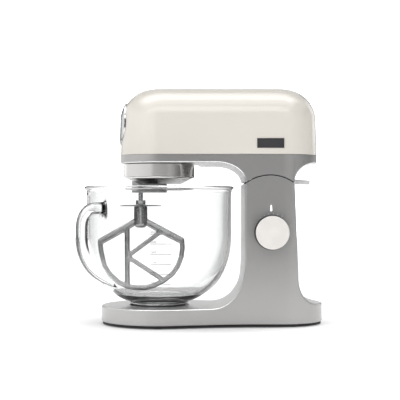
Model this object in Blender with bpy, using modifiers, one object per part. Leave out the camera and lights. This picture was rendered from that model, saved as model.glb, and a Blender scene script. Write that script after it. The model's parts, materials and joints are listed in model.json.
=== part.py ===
"""Tilt-head stand mixer with a glass bowl, a flat beater and its whole drive train, as separate solids.

Metres, +Z up. The head's front faces -X and the tilt hinge is at +X. Inside this script x is counted from the
bowl's axis, and one empty carries everything back so that the world origin lies under the middle of the object.
"""

import math

import bmesh
import bpy
from mathutils import Matrix, Vector

# ---------------------------------------------------------------- driving dimensions (metres)
GAP = 0.0003  # between pieces that rest on each other
FRAME_SHIFT = 0.0648  # from the bowl's axis to the middle of the overall length

# Stand: a keyhole outline seen from above, cut by the side profile
DISC_R = 0.086  # round front of the base, centred on the bowl's axis
HALF_WIDTH = 0.0622  # of the pillar and of the head
REAR_CENTRE_X = 0.181
BLEND_ANGLE = math.radians(75)  # where the disc's edge starts to run into the pillar's sides
BLEND_END_X = 0.150
WALL = 0.003
SKIRT_Z = 0.0045  # lower edge of the casting
DECK_Z = 0.028
PILLAR_FRONT_X = 0.1269
PILLAR_REAR_X = 0.198
PILLAR_REAR_FOOT_X = 0.2035

# Head
HINGE_X, HINGE_Z = 0.1625, 0.1616
DOME_R = 0.058
PARTING = 0.0018
TILT_SLOT = (math.radians(55), math.radians(125))
ARM_ANGLE = math.radians(112)
BELLY_Z = 0.2385
SEAM_Z = 0.2505
HEAD_TOP_Z = 0.350
HEAD_FRONT_CENTRE_X = 0.0046
HEAD_REAR_CENTRE_X = 0.1734
CROWN_R = 0.048
COVER_DRAFT = 0.0016  # how far the cover's ends lean in, from its seam to its crown
COVER_WALL = 0.0025

# Release lever's pin
LEVER_X, LEVER_Z = 0.1830, 0.2275

# Bowl
RIM_Z = 0.205
RIM_R = 0.112
BEAD = 0.0018
FOOT_Z = 0.0302
HANDLE_AZIMUTH = math.radians(224)
HANDLE_R = 0.0085
SPOUT_OUT = 0.007

# Bayonet under the bowl
SEAT_R = 0.0447
SEAT_FLOOR_Z = 0.0203
LUG_COUNT = 3
LUG_HALF = math.radians(15)
LOCK_RING_R = 0.0388

# Planetary drive
GEARBOX_Z = 0.2418
HUB_R = 0.0528
HUB_BOTTOM_Z = 0.2163
TOOL_X = -0.028
MODULE = 0.002
RING_TEETH, PLANET_TEETH = 42, 14
MAIN_TEETH, PINION_TEETH = 44, 11
PRESSURE_ANGLE = math.radians(20)
ADDENDUM, DEDENDUM = 0.8 * MODULE, 1.15 * MODULE
THINNING = 0.00022  # taken off each flank, for running clearance
LAYSHAFT_X = MODULE * (MAIN_TEETH + PINION_TEETH) / 2
MOTOR_X = 0.150
BELT_WHEEL_R, MOTOR_PULLEY_R = 0.042, 0.007
BELT_Z = (0.3135, 0.3225)
BELT_THICKNESS = 0.0016

# Beater, in the plane y = 0 around the tool axis
BEATER_HALF_W = 0.0657
BEATER_MID_Z = 0.116
BEATER_DROP = 0.0692
BEATER_T = 0.008

# Dial
DIAL_X, DIAL_Z = 0.1647, 0.1375
DIAL_R = 0.0241
DIAL_DEPTH = 0.018

WELD = 1e-6


# ---------------------------------------------------------------- scene and materials
def clear_scene():
    for obj in list(bpy.data.objects):
        bpy.data.objects.remove(obj)


def collection(name):
    made = bpy.data.collections.new(name)
    bpy.context.scene.collection.children.link(made)
    return made


def material(name, colour, roughness, metallic=0.0, alpha=1.0):
    made = bpy.data.materials.new(name)
    made.use_nodes = True
    shader = made.node_tree.nodes["Principled BSDF"]
    shader.inputs["Base Color"].default_value = (*colour, 1.0)
    shader.inputs["Roughness"].default_value = roughness
    shader.inputs["Metallic"].default_value = metallic
    shader.inputs["Alpha"].default_value = alpha
    return made


clear_scene()
PARTS = collection("stand_mixer")
CUTTERS = collection("cutters")

CREAM = material("cream_enamel", (0.80, 0.75, 0.66), 0.25)
SILVER = material("silver_paint", (0.48, 0.48, 0.48), 0.35, 0.6)
CHROME = material("chrome", (0.75, 0.75, 0.76), 0.08, 1.0)
STEEL = material("steel", (0.55, 0.55, 0.56), 0.3, 1.0)
ALUMINIUM = material("aluminium", (0.50, 0.50, 0.51), 0.3, 1.0)
GLASS = material("glass", (0.95, 0.97, 0.97), 0.02, 0.0, 0.35)
RUBBER = material("rubber", (0.03, 0.03, 0.03), 0.8)
BLACK = material("black_plastic", (0.04, 0.04, 0.045), 0.5)
BRONZE = material("bronze", (0.55, 0.38, 0.18), 0.35, 1.0)
COPPER = material("copper", (0.70, 0.35, 0.20), 0.35, 1.0)
BOARD = material("circuit_board", (0.03, 0.20, 0.08), 0.5)
PEARL = material("pearl_white", (0.82, 0.80, 0.77), 0.25)
LENS = material("lens_white", (0.95, 0.95, 0.95), 0.2)


def empty(name, location, parent=None):
    """A body's own frame, with its origin on the body's joint axis."""
    made = bpy.data.objects.new(name, None)
    PARTS.objects.link(made)
    made.location = location
    made.parent = parent
    bpy.context.view_layer.update()
    return made


ROOT = empty("stand_frame", (-FRAME_SHIFT, 0, 0))
BOWL = empty("bowl_axis", (0, 0, 0), ROOT)
DIAL = empty("dial_axis", (DIAL_X, 0, DIAL_Z), ROOT)
HEAD = empty("tilt_axis", (HINGE_X, 0, HINGE_Z), ROOT)
LEVER = empty("lever_axis", (LEVER_X - HINGE_X, 0, LEVER_Z - HINGE_Z), HEAD)
PLANET = empty("planet_axis", (-HINGE_X, 0, 0), HEAD)
TOOL = empty("tool_axis", (TOOL_X, 0, 0), PLANET)
LAYSHAFT = empty("layshaft_axis", (LAYSHAFT_X - HINGE_X, 0, 0), HEAD)
MOTOR = empty("motor_axis", (MOTOR_X - HINGE_X, 0, 0), HEAD)
OUTLET = empty("outlet_axis", (-0.0555 - HINGE_X, 0, 0.298 - HINGE_Z), HEAD)


def place(obj, body, finish=None):
    """Links a shape made in bowl-axis coordinates and hangs it on its body's empty."""
    PARTS.objects.link(obj)
    obj.parent = body
    obj.matrix_parent_inverse = body.matrix_world.inverted() @ Matrix.Translation((-FRAME_SHIFT, 0, 0))
    if finish:
        obj.data.materials.clear()
        obj.data.materials.append(finish)
    return obj


# ---------------------------------------------------------------- shapes
def solid(name, bm):
    bmesh.ops.remove_doubles(bm, verts=bm.verts, dist=WELD)
    bmesh.ops.recalc_face_normals(bm, faces=bm.faces)
    mesh = bpy.data.meshes.new(name)
    bm.to_mesh(mesh)
    bm.free()
    made = bpy.data.objects.new(name, mesh)
    made.data.shade_smooth()
    made.data.set_sharp_from_angle(angle=math.radians(35))
    return made


def frozen(source, name):
    """A mesh object of the source as it is evaluated, with loose caps closed. The source is removed."""
    bpy.context.scene.collection.objects.link(source)
    graph = bpy.context.evaluated_depsgraph_get()
    mesh = bpy.data.meshes.new_from_object(source.evaluated_get(graph))
    mesh.transform(source.matrix_world)
    bpy.data.objects.remove(source)
    bm = bmesh.new()
    bm.from_mesh(mesh)
    bpy.data.meshes.remove(mesh)
    return solid(name, bm)


def along(start, end):
    """A matrix that carries the Z axis onto start-end, with its origin halfway."""
    start, end = Vector(start), Vector(end)
    turn = (end - start).to_track_quat("Z", "Y").to_matrix().to_4x4()
    return Matrix.Translation((start + end) / 2) @ turn


def rod(name, start, end, radius, tip=None, segments=16):
    """A cylinder or cone between two points."""
    bm = bmesh.new()
    bmesh.ops.create_cone(
        bm,
        cap_ends=True,
        segments=segments,
        radius1=radius,
        radius2=radius if tip is None else tip,
        depth=(Vector(end) - Vector(start)).length,
        matrix=along(start, end),
    )
    return solid(name, bm)


def box(name, low, high, round_edges=0.0):
    bm = bmesh.new()
    size = Vector(high) - Vector(low)
    centre = (Vector(high) + Vector(low)) / 2
    bmesh.ops.create_cube(bm, size=1, matrix=Matrix.Translation(centre) @ Matrix.Diagonal((*size, 1)))
    if round_edges:
        bmesh.ops.bevel(bm, geom=bm.edges[:], offset=round_edges, segments=1, affect="EDGES")
    return solid(name, bm)


def turned(name, profile, centre=(0, 0), segments=32, ring=False):
    """A profile of (radius, height) points turned about the vertical through centre. A ring's profile is closed."""
    mesh = bpy.data.meshes.new(name)
    count = len(profile)
    edges = [(i, (i + 1) % count) for i in range(count if ring else count - 1)]
    mesh.from_pydata([(r, 0, z) for r, z in profile], edges, [])
    source = bpy.data.objects.new(name, mesh)
    screw = source.modifiers.new("turn", "SCREW")
    screw.axis = "Z"
    screw.steps = screw.render_steps = segments
    screw.use_merge_vertices = True
    screw.merge_threshold = WELD
    made = frozen(source, name)
    made.data.transform(Matrix.Translation((*centre, 0)))
    return made


def extruded(name, outlines, low, high, upright=False):
    """Closed outlines, the later ones holes, as a plate from low to high along Z, or along Y if upright."""
    curve = bpy.data.curves.new(name, "CURVE")
    curve.dimensions = "2D"
    curve.fill_mode = "BOTH"
    curve.extrude = (high - low) / 2
    for outline in outlines:
        spline = curve.splines.new("POLY")
        spline.points.add(len(outline) - 1)
        for point, (u, v) in zip(spline.points, outline):
            point.co = (u, v, 0, 1)
        spline.use_cyclic_u = True
    made = frozen(bpy.data.objects.new(name, curve), name)
    if upright:  # the outline's second axis becomes Z
        made.data.transform(Matrix.Translation((0, (low + high) / 2, 0)) @ Matrix.Rotation(math.pi / 2, 4, "X"))
    else:
        made.data.transform(Matrix.Translation((0, 0, (low + high) / 2)))
    return made


def tube(name, points, radii, sides=2, cyclic=False):
    """A round bar along a list of points, each with its own radius. Sides is the bevel resolution."""
    curve = bpy.data.curves.new(name, "CURVE")
    curve.dimensions = "3D"
    curve.bevel_depth = 1.0
    curve.bevel_resolution = sides
    curve.use_fill_caps = True
    spline = curve.splines.new("POLY")
    spline.points.add(len(points) - 1)
    for target, point, radius in zip(spline.points, points, radii):
        target.co = (*point, 1)
        target.radius = radius
    spline.use_cyclic_u = cyclic
    return frozen(bpy.data.objects.new(name, curve), name)


def tool_of(obj, helper, operation):
    """Cuts or joins obj with a helper, which is kept out of sight in its own collection."""
    CUTTERS.objects.link(helper)
    helper.parent = ROOT
    helper.hide_render = True
    helper.display_type = "WIRE"
    step = obj.modifiers.new(operation.lower(), "BOOLEAN")
    step.object = helper
    step.operation = operation
    return obj


def cut(obj, *helpers):
    for helper in helpers:
        tool_of(obj, helper, "DIFFERENCE")
    return obj


def join(obj, *helpers):
    for helper in helpers:
        tool_of(obj, helper, "UNION")
    return obj


# ---------------------------------------------------------------- outlines
def arc(centre, radius, start, end, count):
    """Points on an arc, both ends included."""
    return [
        (
            centre[0] + radius * math.cos(start + (end - start) * i / count),
            centre[1] + radius * math.sin(start + (end - start) * i / count),
        )
        for i in range(count + 1)
    ]


def quarter(centre, across, up, power, count):
    """A quarter of a superellipse, from the end of its across arm to the end of its up arm."""
    steps = [math.pi / 2 * i / count for i in range(count + 1)]
    return [
        (
            centre[0] + across * abs(math.cos(t)) ** (2 / power),
            centre[1] + up * abs(math.sin(t)) ** (2 / power),
        )
        for t in steps
    ]


def inset(outline, distance):
    """The outline moved inwards by a distance, each corner mitred. It runs anticlockwise."""
    moved = []
    for i, here in enumerate(outline):
        here = Vector(here)
        before = (here - Vector(outline[i - 1])).normalized()
        after = (Vector(outline[(i + 1) % len(outline)]) - here).normalized()
        normal = Vector((-before.y - after.y, before.x + after.x)).normalized()
        mitre = distance / max(0.3, normal.dot(Vector((-after.y, after.x))))
        moved.append(tuple(here + normal * mitre))
    return moved


def stand_plan(margin=0.0):
    """The stand seen from above, anticlockwise: rear half round, blends, and the disc round the bowl's axis."""
    disc, side = DISC_R - margin, HALF_WIDTH - margin
    start = Vector((math.cos(BLEND_ANGLE), math.sin(BLEND_ANGLE))) * disc
    slope = -start.x / start.y
    length = BLEND_END_X - start.x
    blend = []
    steps = 5
    for i in range(1, steps):
        t = i / steps
        width = (2 * t**3 - 3 * t**2 + 1) * start.y + (t**3 - 2 * t**2 + t) * length * slope
        width += (3 * t**2 - 2 * t**3) * side
        blend.append((start.x + length * t, width))
    points = arc((REAR_CENTRE_X, 0), side, -math.pi / 2, math.pi / 2, 10)
    points += [(BLEND_END_X, side)] + blend[::-1]
    points += arc((0, 0), disc, BLEND_ANGLE, 2 * math.pi - BLEND_ANGLE, 20)
    points += [(x, -y) for x, y in blend] + [(BLEND_END_X, -side)]
    return points


def stand_profile():
    """The stand seen from its side, anticlockwise."""
    dome_right = math.acos((PILLAR_REAR_X - HINGE_X) / DOME_R)
    dome_left = math.acos((PILLAR_FRONT_X - HINGE_X) / DOME_R)
    points = [(-0.1, SKIRT_Z), (0.26, SKIRT_Z), (0.26, 0.0315)]
    points += quarter((0.243, 0.076), PILLAR_REAR_FOOT_X - 0.243, -0.0445, 2.5, 7)[::-1]
    points += arc((HINGE_X, HINGE_Z), DOME_R, dome_right, dome_left, 12)
    points += quarter((0.076, 0.100), PILLAR_FRONT_X - 0.076, DECK_Z - 0.100, 2.2, 8)
    points += [(-0.1, DECK_Z)]
    return points


def head_plan(margin=0.0, ends=12, lean=0.0):
    """The head seen from above, anticlockwise: a bar with two half-round ends."""
    side = HALF_WIDTH - margin
    rear = arc((HEAD_REAR_CENTRE_X - lean, 0), side, -math.pi / 2, math.pi / 2, ends)
    front = arc((HEAD_FRONT_CENTRE_X + lean, 0), side, math.pi / 2, 3 * math.pi / 2, ends)
    return rear + front


def neck_profile():
    """The head's lower casting seen from its side, anticlockwise, with the hollow that turns over the dome."""
    radius = DOME_R + PARTING
    right = math.acos((PILLAR_REAR_X - HINGE_X) / radius)
    left = math.acos((PILLAR_FRONT_X - HINGE_X) / radius)
    foot_z = HINGE_Z + radius * math.sin(right)
    points = [(-0.08, SEAM_Z), (-0.08, BELLY_Z)]
    points += quarter((0.084, foot_z), PILLAR_FRONT_X - 0.084, BELLY_Z - foot_z, 2, 6)[::-1]
    points += arc((HINGE_X, HINGE_Z), radius, left, right, 12)[1:-1]
    points += quarter((0.234, foot_z), PILLAR_REAR_X - 0.234, BELLY_Z - foot_z, 2, 6)
    points += [(0.25, BELLY_Z), (0.25, SEAM_Z)]
    return points


def gear_outline(teeth, centre, turn=0.0, internal=False):
    """A spur gear's outline, its flanks involute, or straight on the big wheels where that is as good.

    An internal gear's outline is the space its mate runs in.
    """
    pitch = MODULE * teeth / 2
    base = pitch * math.cos(PRESSURE_ANGLE)
    sign = -1 if internal else 1
    root, tip = pitch - sign * DEDENDUM, pitch + sign * ADDENDUM
    inner, outer = min(root, tip), max(root, tip)
    thinning = -sign * THINNING

    def half_angle(radius):
        flank = math.acos(base / max(radius, base))
        involute = math.tan(PRESSURE_ANGLE) - PRESSURE_ANGLE - (math.tan(flank) - flank)
        return math.pi / (2 * teeth) + involute + thinning / pitch

    points = []
    for tooth in range(teeth):
        middle = turn + 2 * math.pi * tooth / teeth
        flank = [(r, half_angle(r)) for r in ((inner, outer) if teeth > 40 else (inner, pitch, outer))]
        for r, half in [(r, -h) for r, h in flank] + flank[::-1]:
            points.append((centre[0] + r * math.cos(middle + half), centre[1] + r * math.sin(middle + half)))
    return points


# ---------------------------------------------------------------- stand
FOOT_PLACES = {
    "front": (-0.068, 0.0),
    "front_left": (0.0, -0.070),
    "front_right": (0.0, 0.070),
    "rear_left": (0.195, -0.042),
    "rear_right": (0.195, 0.042),
}
BASE_SCREWS = [(-0.052, -0.040), (-0.052, 0.040), (0.218, -0.028), (0.218, 0.028)]


def base_stand():
    """The cast stand: base and pillar in one hollow shell, open underneath."""
    shell = extruded("base_stand", [stand_plan()], 0.0, 0.25)
    profile = stand_profile()
    tool_of(shell, extruded("stand_side", [profile], -0.12, 0.12, upright=True), "INTERSECT")
    hollow = extruded("stand_hollow", [stand_plan(WALL)], -0.02, 0.25)
    inner = [(x, -0.01 if z < SKIRT_Z + 2 * WALL else z) for x, z in inset(profile, WALL)]
    tool_of(hollow, extruded("stand_inner_side", [inner], -0.11, 0.11, upright=True), "INTERSECT")
    cut(shell, hollow)
    for i, (x, y) in enumerate(BASE_SCREWS):
        roof = DECK_Z if x < 0 else 0.0352
        join(shell, rod(f"boss_{i}", (x, y, 0.0076), (x, y, roof - WALL / 2), 0.0045, segments=12))
        cut(shell, rod(f"boss_hole_{i}", (x, y, 0.004), (x, y, 0.020), 0.0018, segments=10))
    well = turned(
        "bowl_well",
        [(0, DECK_Z - 0.001), (SEAT_R + 0.003, DECK_Z - 0.001), (SEAT_R + 0.003, 0.0168), (0, 0.0168)],
    )
    join(shell, well)
    cut(shell, rod("seat_pocket", (0, 0, SEAT_FLOOR_Z - GAP), (0, 0, 0.04), SEAT_R + GAP, segments=40))
    slot_start, slot_end = TILT_SLOT
    sector = arc((HINGE_X, HINGE_Z), 0.072, slot_start, slot_end, 8)
    sector += arc((HINGE_X, HINGE_Z), 0.040, slot_end, slot_start, 6)
    cut(shell, extruded("tilt_slot", [sector], -0.024, 0.024, upright=True))
    for side in (-1, 1):
        low, high = sorted((side * 0.0540, side * (HALF_WIDTH - WALL / 2)))
        join(shell, box(f"bracket_ledge_{side + 1}", (0.140, low, 0.1120), (0.178, high, 0.1177)))
    for i, (x, z) in enumerate(((0.146, 0.056), (0.182, 0.106))):
        post = rod(f"board_post_{i}", (x, 0.0564, z), (x, HALF_WIDTH - WALL / 2, z), 0.003, segments=8)
        join(shell, post)
    cut(shell, rod("dial_hole", (DIAL_X, -0.07, DIAL_Z), (DIAL_X, -0.05, DIAL_Z), 0.006, segments=16))
    cut(shell, box("lens_hole", (0.1611, -0.07, 0.1677), (0.1661, -0.05, 0.1777)))
    cut(shell, rod("gland_hole", (0.230, 0, 0.0175), (0.260, 0, 0.0175), 0.0068, segments=16))
    place(shell, ROOT, SILVER)


def underside():
    """The bottom cover, a black tray that shows below the casting, with its screws and the rubber feet."""
    plate = extruded("base_cover", [stand_plan(0.0015)], 0.0012, SKIRT_Z - GAP)
    join(plate, extruded("cover_plate", [stand_plan(WALL + 0.0005)], 0.0030, 0.0073))
    cut(plate, extruded("cover_hollow", [stand_plan(0.0065)], -0.01, 0.0048))
    for i, (x, y) in enumerate(BASE_SCREWS):
        cut(plate, rod(f"cover_hole_{i}", (x, y, 0.003), (x, y, 0.009), 0.0022, segments=10))
    for name, at in FOOT_PLACES.items():
        cut(plate, rod(f"foot_pocket_{name}", (*at, 0.0), (*at, 0.0048), 0.0096, segments=20))
    place(plate, ROOT, BLACK)
    for i, (x, y) in enumerate(BASE_SCREWS):
        screw = turned(
            f"base_screw_{i + 1}",
            [(0, 0.0155), (0.0015, 0.0145), (0.0015, 0.0045), (0.0038, 0.0045), (0.0034, 0.0028), (0, 0.0026)],
            (x, y),
            12,
        )
        place(screw, ROOT, STEEL)
    for name, at in FOOT_PLACES.items():
        foot = turned(f"foot_{name}", [(0, 0.0045), (0.0092, 0.0045), (0.0088, 0.0006), (0.0082, 0), (0, 0)], at, 16)
        place(foot, ROOT, RUBBER)


def bowl_seat():
    """The bayonet insert that the bowl turns into: a cup with three lips."""
    wall = SEAT_R - 0.0017
    cup = turned(
        "bowl_seat",
        [(SEAT_R, DECK_Z - 0.0002), (SEAT_R, SEAT_FLOOR_Z), (0.020, SEAT_FLOOR_Z), (0.020, 0.0222), (wall, 0.0222)]
        + [(wall, DECK_Z - 0.0002)],
        ring=True,
        segments=36,
    )
    for i in range(LUG_COUNT):
        middle = 2 * math.pi * i / LUG_COUNT
        lip = arc((0, 0), SEAT_R - 0.0009, middle - LUG_HALF, middle + LUG_HALF, 5)
        lip += arc((0, 0), LOCK_RING_R + 0.0008, middle + LUG_HALF, middle - LUG_HALF, 5)
        join(cup, extruded(f"lip_{i}", [lip], 0.0262, DECK_Z - 0.0004))
    place(cup, ROOT, BLACK)


def hinge():
    """The bracket, pin and bushes inside the pillar, and the arm that the head stands on."""
    bracket = box("hinge_bracket", (0.136, -0.0588, 0.118), (0.180, 0.0588, 0.122))
    for side in (-1, 1):
        inner, outer = sorted((side * 0.0270, side * 0.0320))
        join(bracket, box(f"ear_{side + 1}", (0.146, inner, 0.120), (0.179, outer, HINGE_Z)))
        join(bracket, rod(f"ear_round_{side + 1}", (HINGE_X, inner, HINGE_Z), (HINGE_X, outer, HINGE_Z), 0.0165))
        cut(bracket, rod(f"ear_bore_{side + 1}", (HINGE_X, side * 0.02, HINGE_Z), (HINGE_X, side * 0.04, HINGE_Z), 0.0093))
    place(bracket, ROOT, STEEL)
    for name, side in (("left", -1), ("right", 1)):
        bush = turned(
            f"tilt_bush_{name}",
            [(0.0090, 0.0326), (0.0090, 0.0256), (0.0063, 0.0256), (0.0063, 0.0326)],
            ring=True,
            segments=20,
        )
        bush.data.transform(Matrix.Translation((HINGE_X, 0, HINGE_Z)) @ Matrix.Rotation(side * -math.pi / 2, 4, "X"))
        place(bush, ROOT, BRONZE)
    place(rod("tilt_pin", (HINGE_X, -0.038, HINGE_Z), (HINGE_X, 0.038, HINGE_Z), 0.006), ROOT, STEEL)

    reach = Vector((math.cos(ARM_ANGLE), 0, math.sin(ARM_ANGLE)))
    middle = Vector((HINGE_X, 0, HINGE_Z))
    arm = rod("hinge_arm", (HINGE_X, -0.022, HINGE_Z), (HINGE_X, 0.022, HINGE_Z), 0.0125)
    bar = box("arm_bar", (-0.020, -0.0085, 0.0), (0.020, 0.0085, DOME_R + PARTING - 3 * GAP))
    bar.data.transform(Matrix.Translation(middle) @ reach.to_track_quat("Z", "Y").to_matrix().to_4x4())
    join(arm, bar)
    cut(arm, rod("arm_bore", (HINGE_X, -0.03, HINGE_Z), (HINGE_X, 0.03, HINGE_Z), 0.0063))
    place(arm, HEAD, STEEL)


def controls():
    """The dial and its shaft, the rotary switch, the indicator window, the board and the cord's gland."""
    face = -HALF_WIDTH
    knob = turned(
        "speed_dial",
        [(0, DIAL_DEPTH), (DIAL_R - 0.0022, DIAL_DEPTH - 0.0002), (DIAL_R - 0.0005, DIAL_DEPTH - 0.0014)]
        + [(DIAL_R, DIAL_DEPTH - 0.003), (DIAL_R + 0.0011, 0.0008), (DIAL_R - 0.0025, 0.0008), (DIAL_R - 0.0025, 0.013)]
        + [(0.0062, 0.013), (0.0062, 0.004), (0.0033, 0.004), (0.0033, 0.012), (0, 0.012)],
        segments=36,
    )
    turn = Matrix.Translation((DIAL_X, face, DIAL_Z)) @ Matrix.Rotation(math.pi / 2, 4, "X")
    knob.data.transform(turn)
    place(knob, DIAL, PEARL)
    shaft = rod("dial_shaft", (DIAL_X, face - 0.0115, DIAL_Z), (DIAL_X, -0.0593, DIAL_Z), 0.003, segments=16)
    place(shaft, DIAL, STEEL)
    place(box("speed_switch", (0.148, -0.0588, 0.124), (0.1805, -0.0475, 0.151), 0.001), ROOT, BLACK)
    place(box("indicator_lens", (0.1614, face - 0.0004, 0.168), (0.1658, -0.0570, 0.1774)), ROOT, LENS)
    place(box("control_board", (0.141, 0.0545, 0.050), (0.187, 0.0561, 0.1115)), ROOT, BOARD)
    gland = turned(
        "cord_gland",
        [(0.0064, 0.2427), (0.0064, 0.2372), (0.0078, 0.2372), (0.0078, 0.2356), (0.0040, 0.2356), (0.0040, 0.2427)],
        ring=True,
        segments=20,
    )
    gland.data.transform(Matrix.Translation((0, 0, 0.0175)) @ Matrix.Rotation(math.pi / 2, 4, "Y"))
    place(gland, ROOT, RUBBER)


# ---------------------------------------------------------------- head
def head_frame():
    """The head's lower casting: the band under the cover, the belly and the neck over the dome."""
    shell = extruded("head_frame", [head_plan()], 0.18, SEAM_Z)
    profile = neck_profile()
    raised = [(x, z + 0.01 if z > SEAM_Z - 1e-6 else z) for x, z in profile]
    tool_of(shell, extruded("neck_side", [raised], -0.08, 0.08, upright=True), "INTERSECT")
    hollow = extruded("head_hollow", [head_plan(WALL)], 0.18, 0.28)
    inner = [(x, 0.29 if z > SEAM_Z - 1.5 * WALL else z) for x, z in inset(profile, WALL)]
    tool_of(hollow, extruded("neck_inner_side", [inner], -0.08, 0.08, upright=True), "INTERSECT")
    cut(shell, hollow)
    cut(shell, rod("spindle_hole", (0, 0, 0.23), (0, 0, 0.25), 0.020, segments=24))
    cut(shell, box("lever_slot", (0.1865, -0.0145, 0.2075), (0.215, 0.0145, 0.2255)))
    cradle = arc((HINGE_X, HINGE_Z), 0.0606, math.radians(65), math.radians(118), 6)
    cradle += [(cradle[-1][0], 0.2487), (cradle[0][0], 0.2487)]
    for side in (-1, 1):
        low, high = sorted((side * 0.0300, side * 0.0330))
        join(shell, extruded(f"motor_rib_{side + 1}", [cradle], low, high, upright=True))
        low, high = sorted((side * 0.0245, side * 0.0285))
        ear = box(f"lever_ear_{side + 1}", (LEVER_X - 0.004, low, 0.2195), (LEVER_X + 0.004, high, LEVER_Z + 0.005))
        join(shell, ear)
    cut(shell, rod("lever_ear_bore", (LEVER_X, -0.0293, LEVER_Z), (LEVER_X, 0.0293, LEVER_Z), 0.0023))
    place(shell, HEAD, SILVER)


def cover_rings(margin=0.0, low=SEAM_Z + 0.0004, ends=12, rows=5):
    """Stadium rings of the head's cover from its lower edge to its crown, as (margin, height) pairs."""
    centre_z = HEAD_TOP_Z - CROWN_R
    radius = CROWN_R - margin
    levels = [(margin, low), (margin, centre_z)]
    for i in range(1, rows + 1):
        t = math.radians(84) * i / rows
        levels.append((CROWN_R - radius * math.cos(t), centre_z + radius * math.sin(t)))
    rise = centre_z - SEAM_Z
    rings = []
    for m, z in levels:
        lean = COVER_DRAFT * min(1.0, (z - SEAM_Z) / rise)
        rings.append([(x, y, z) for x, y in head_plan(m, ends, lean)])
    return rings


def cover_surface(name, margin=0.0, low=SEAM_Z + 0.0004, closed=False):
    """The cover's skin as one surface, open underneath unless closed."""
    bm = bmesh.new()
    rings = [[bm.verts.new(p) for p in ring] for ring in cover_rings(margin, low)]
    count = len(rings[0])
    for lower, upper in zip(rings, rings[1:]):
        for i in range(count):
            k = (i + 1) % count
            bm.faces.new((lower[i], lower[k], upper[k], upper[i]))
    bm.faces.new(rings[-1])
    if closed:
        bm.faces.new(rings[0][::-1])
    return solid(name, bm)


def head_cover():
    shell = cover_surface("head_cover")
    skin = shell.modifiers.new("wall", "SOLIDIFY")
    skin.thickness = COVER_WALL
    skin.offset = -1
    skin.use_even_offset = True
    cut(shell, rod("outlet_hole", (-0.08, 0, 0.298), (-0.03, 0, 0.298), 0.0192, segments=32))
    place(shell, HEAD, CREAM)


def outlet():
    """The accessory outlet in the head's nose, with the curved plate that covers it."""
    plate = cover_surface("outlet_cover", -0.0024, closed=True)
    cut(plate, cover_surface("outlet_plate_inner", -GAP, low=0.24, closed=True))
    tool_of(plate, rod("outlet_plate_edge", (-0.08, 0, 0.298), (-0.02, 0, 0.298), 0.0315, segments=36), "INTERSECT")
    join(plate, rod("outlet_plug", (-0.057, 0, 0.298), (-0.046, 0, 0.298), 0.0153))
    place(plate, OUTLET, CHROME)
    socket = turned(
        "outlet_socket",
        [(0.0160, 0.0505), (0.0188, 0.0505), (0.0188, 0.0450), (0.0235, 0.0450), (0.0235, 0.0430), (0.0188, 0.0430)]
        + [(0.0188, 0.0275), (0.0160, 0.0275)],
        ring=True,
        segments=24,
    )
    socket.data.transform(Matrix.Translation((0, 0, 0.298)) @ Matrix.Rotation(-math.pi / 2, 4, "Y"))
    place(socket, HEAD, STEEL)


def badge():
    plate = box("badge_plate", (0.1435, -HALF_WIDTH - 0.0011, 0.2595), (0.1825, -HALF_WIDTH - GAP, 0.2735))
    place(plate, HEAD, BLACK)


def release_lever():
    """The lever behind the neck that frees the head, with its pin and return spring."""
    side = [(0.1795, 0.2246), (0.1865, 0.2203), (0.1960, 0.2112), (0.2012, 0.2082), (0.2238, 0.2070)]
    side += [(0.2245, 0.2076), (0.2245, 0.2131), (0.2239, 0.2136), (0.2030, 0.2152), (0.1905, 0.2255), (0.1865, 0.2310)]
    lever = extruded("release_lever", [side], -0.0135, 0.0135, upright=True)
    join(lever, rod("lever_boss", (LEVER_X, -0.0135, LEVER_Z), (LEVER_X, 0.0135, LEVER_Z), 0.0050))
    cut(lever, rod("lever_bore", (LEVER_X, -0.02, LEVER_Z), (LEVER_X, 0.02, LEVER_Z), 0.0023))
    place(lever, LEVER, CHROME)
    place(rod("lever_pin", (LEVER_X, -0.0285, LEVER_Z), (LEVER_X, 0.0285, LEVER_Z), 0.002, segments=12), HEAD, STEEL)
    turns, per_turn, low, high = 4, 8, 0.0150, 0.0220
    spring = [
        (
            LEVER_X + 0.0032 * math.cos(2 * math.pi * i / per_turn),
            low + (high - low) * i / (turns * per_turn),
            LEVER_Z + 0.0032 * math.sin(2 * math.pi * i / per_turn),
        )
        for i in range(turns * per_turn + 1)
    ]
    place(tube("lever_spring", spring, [0.0005] * len(spring), sides=0), HEAD, STEEL)


def hub_housing():
    """The bright drum under the head, with the ring gear fixed inside it."""
    top = BELLY_Z - 0.0012
    drum = turned(
        "hub_housing",
        [(HUB_R, top), (HUB_R - 0.0006, HUB_BOTTOM_Z + 0.0015), (HUB_R - 0.0018, HUB_BOTTOM_Z)]
        + [(HUB_R - 0.0032, HUB_BOTTOM_Z), (HUB_R - 0.0032, top - 0.003), (0.0168, top - 0.003), (0.0168, top)],
        ring=True,
        segments=36,
    )
    place(drum, HEAD, CHROME)
    ring_r = HUB_R - 0.0037
    body = arc((0, 0), ring_r, 0, 2 * math.pi, 48)[:-1]
    teeth = gear_outline(RING_TEETH, (0, 0), internal=True)
    place(extruded("ring_gear", [body, teeth], 0.2215, 0.2315), HEAD, STEEL)


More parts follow.
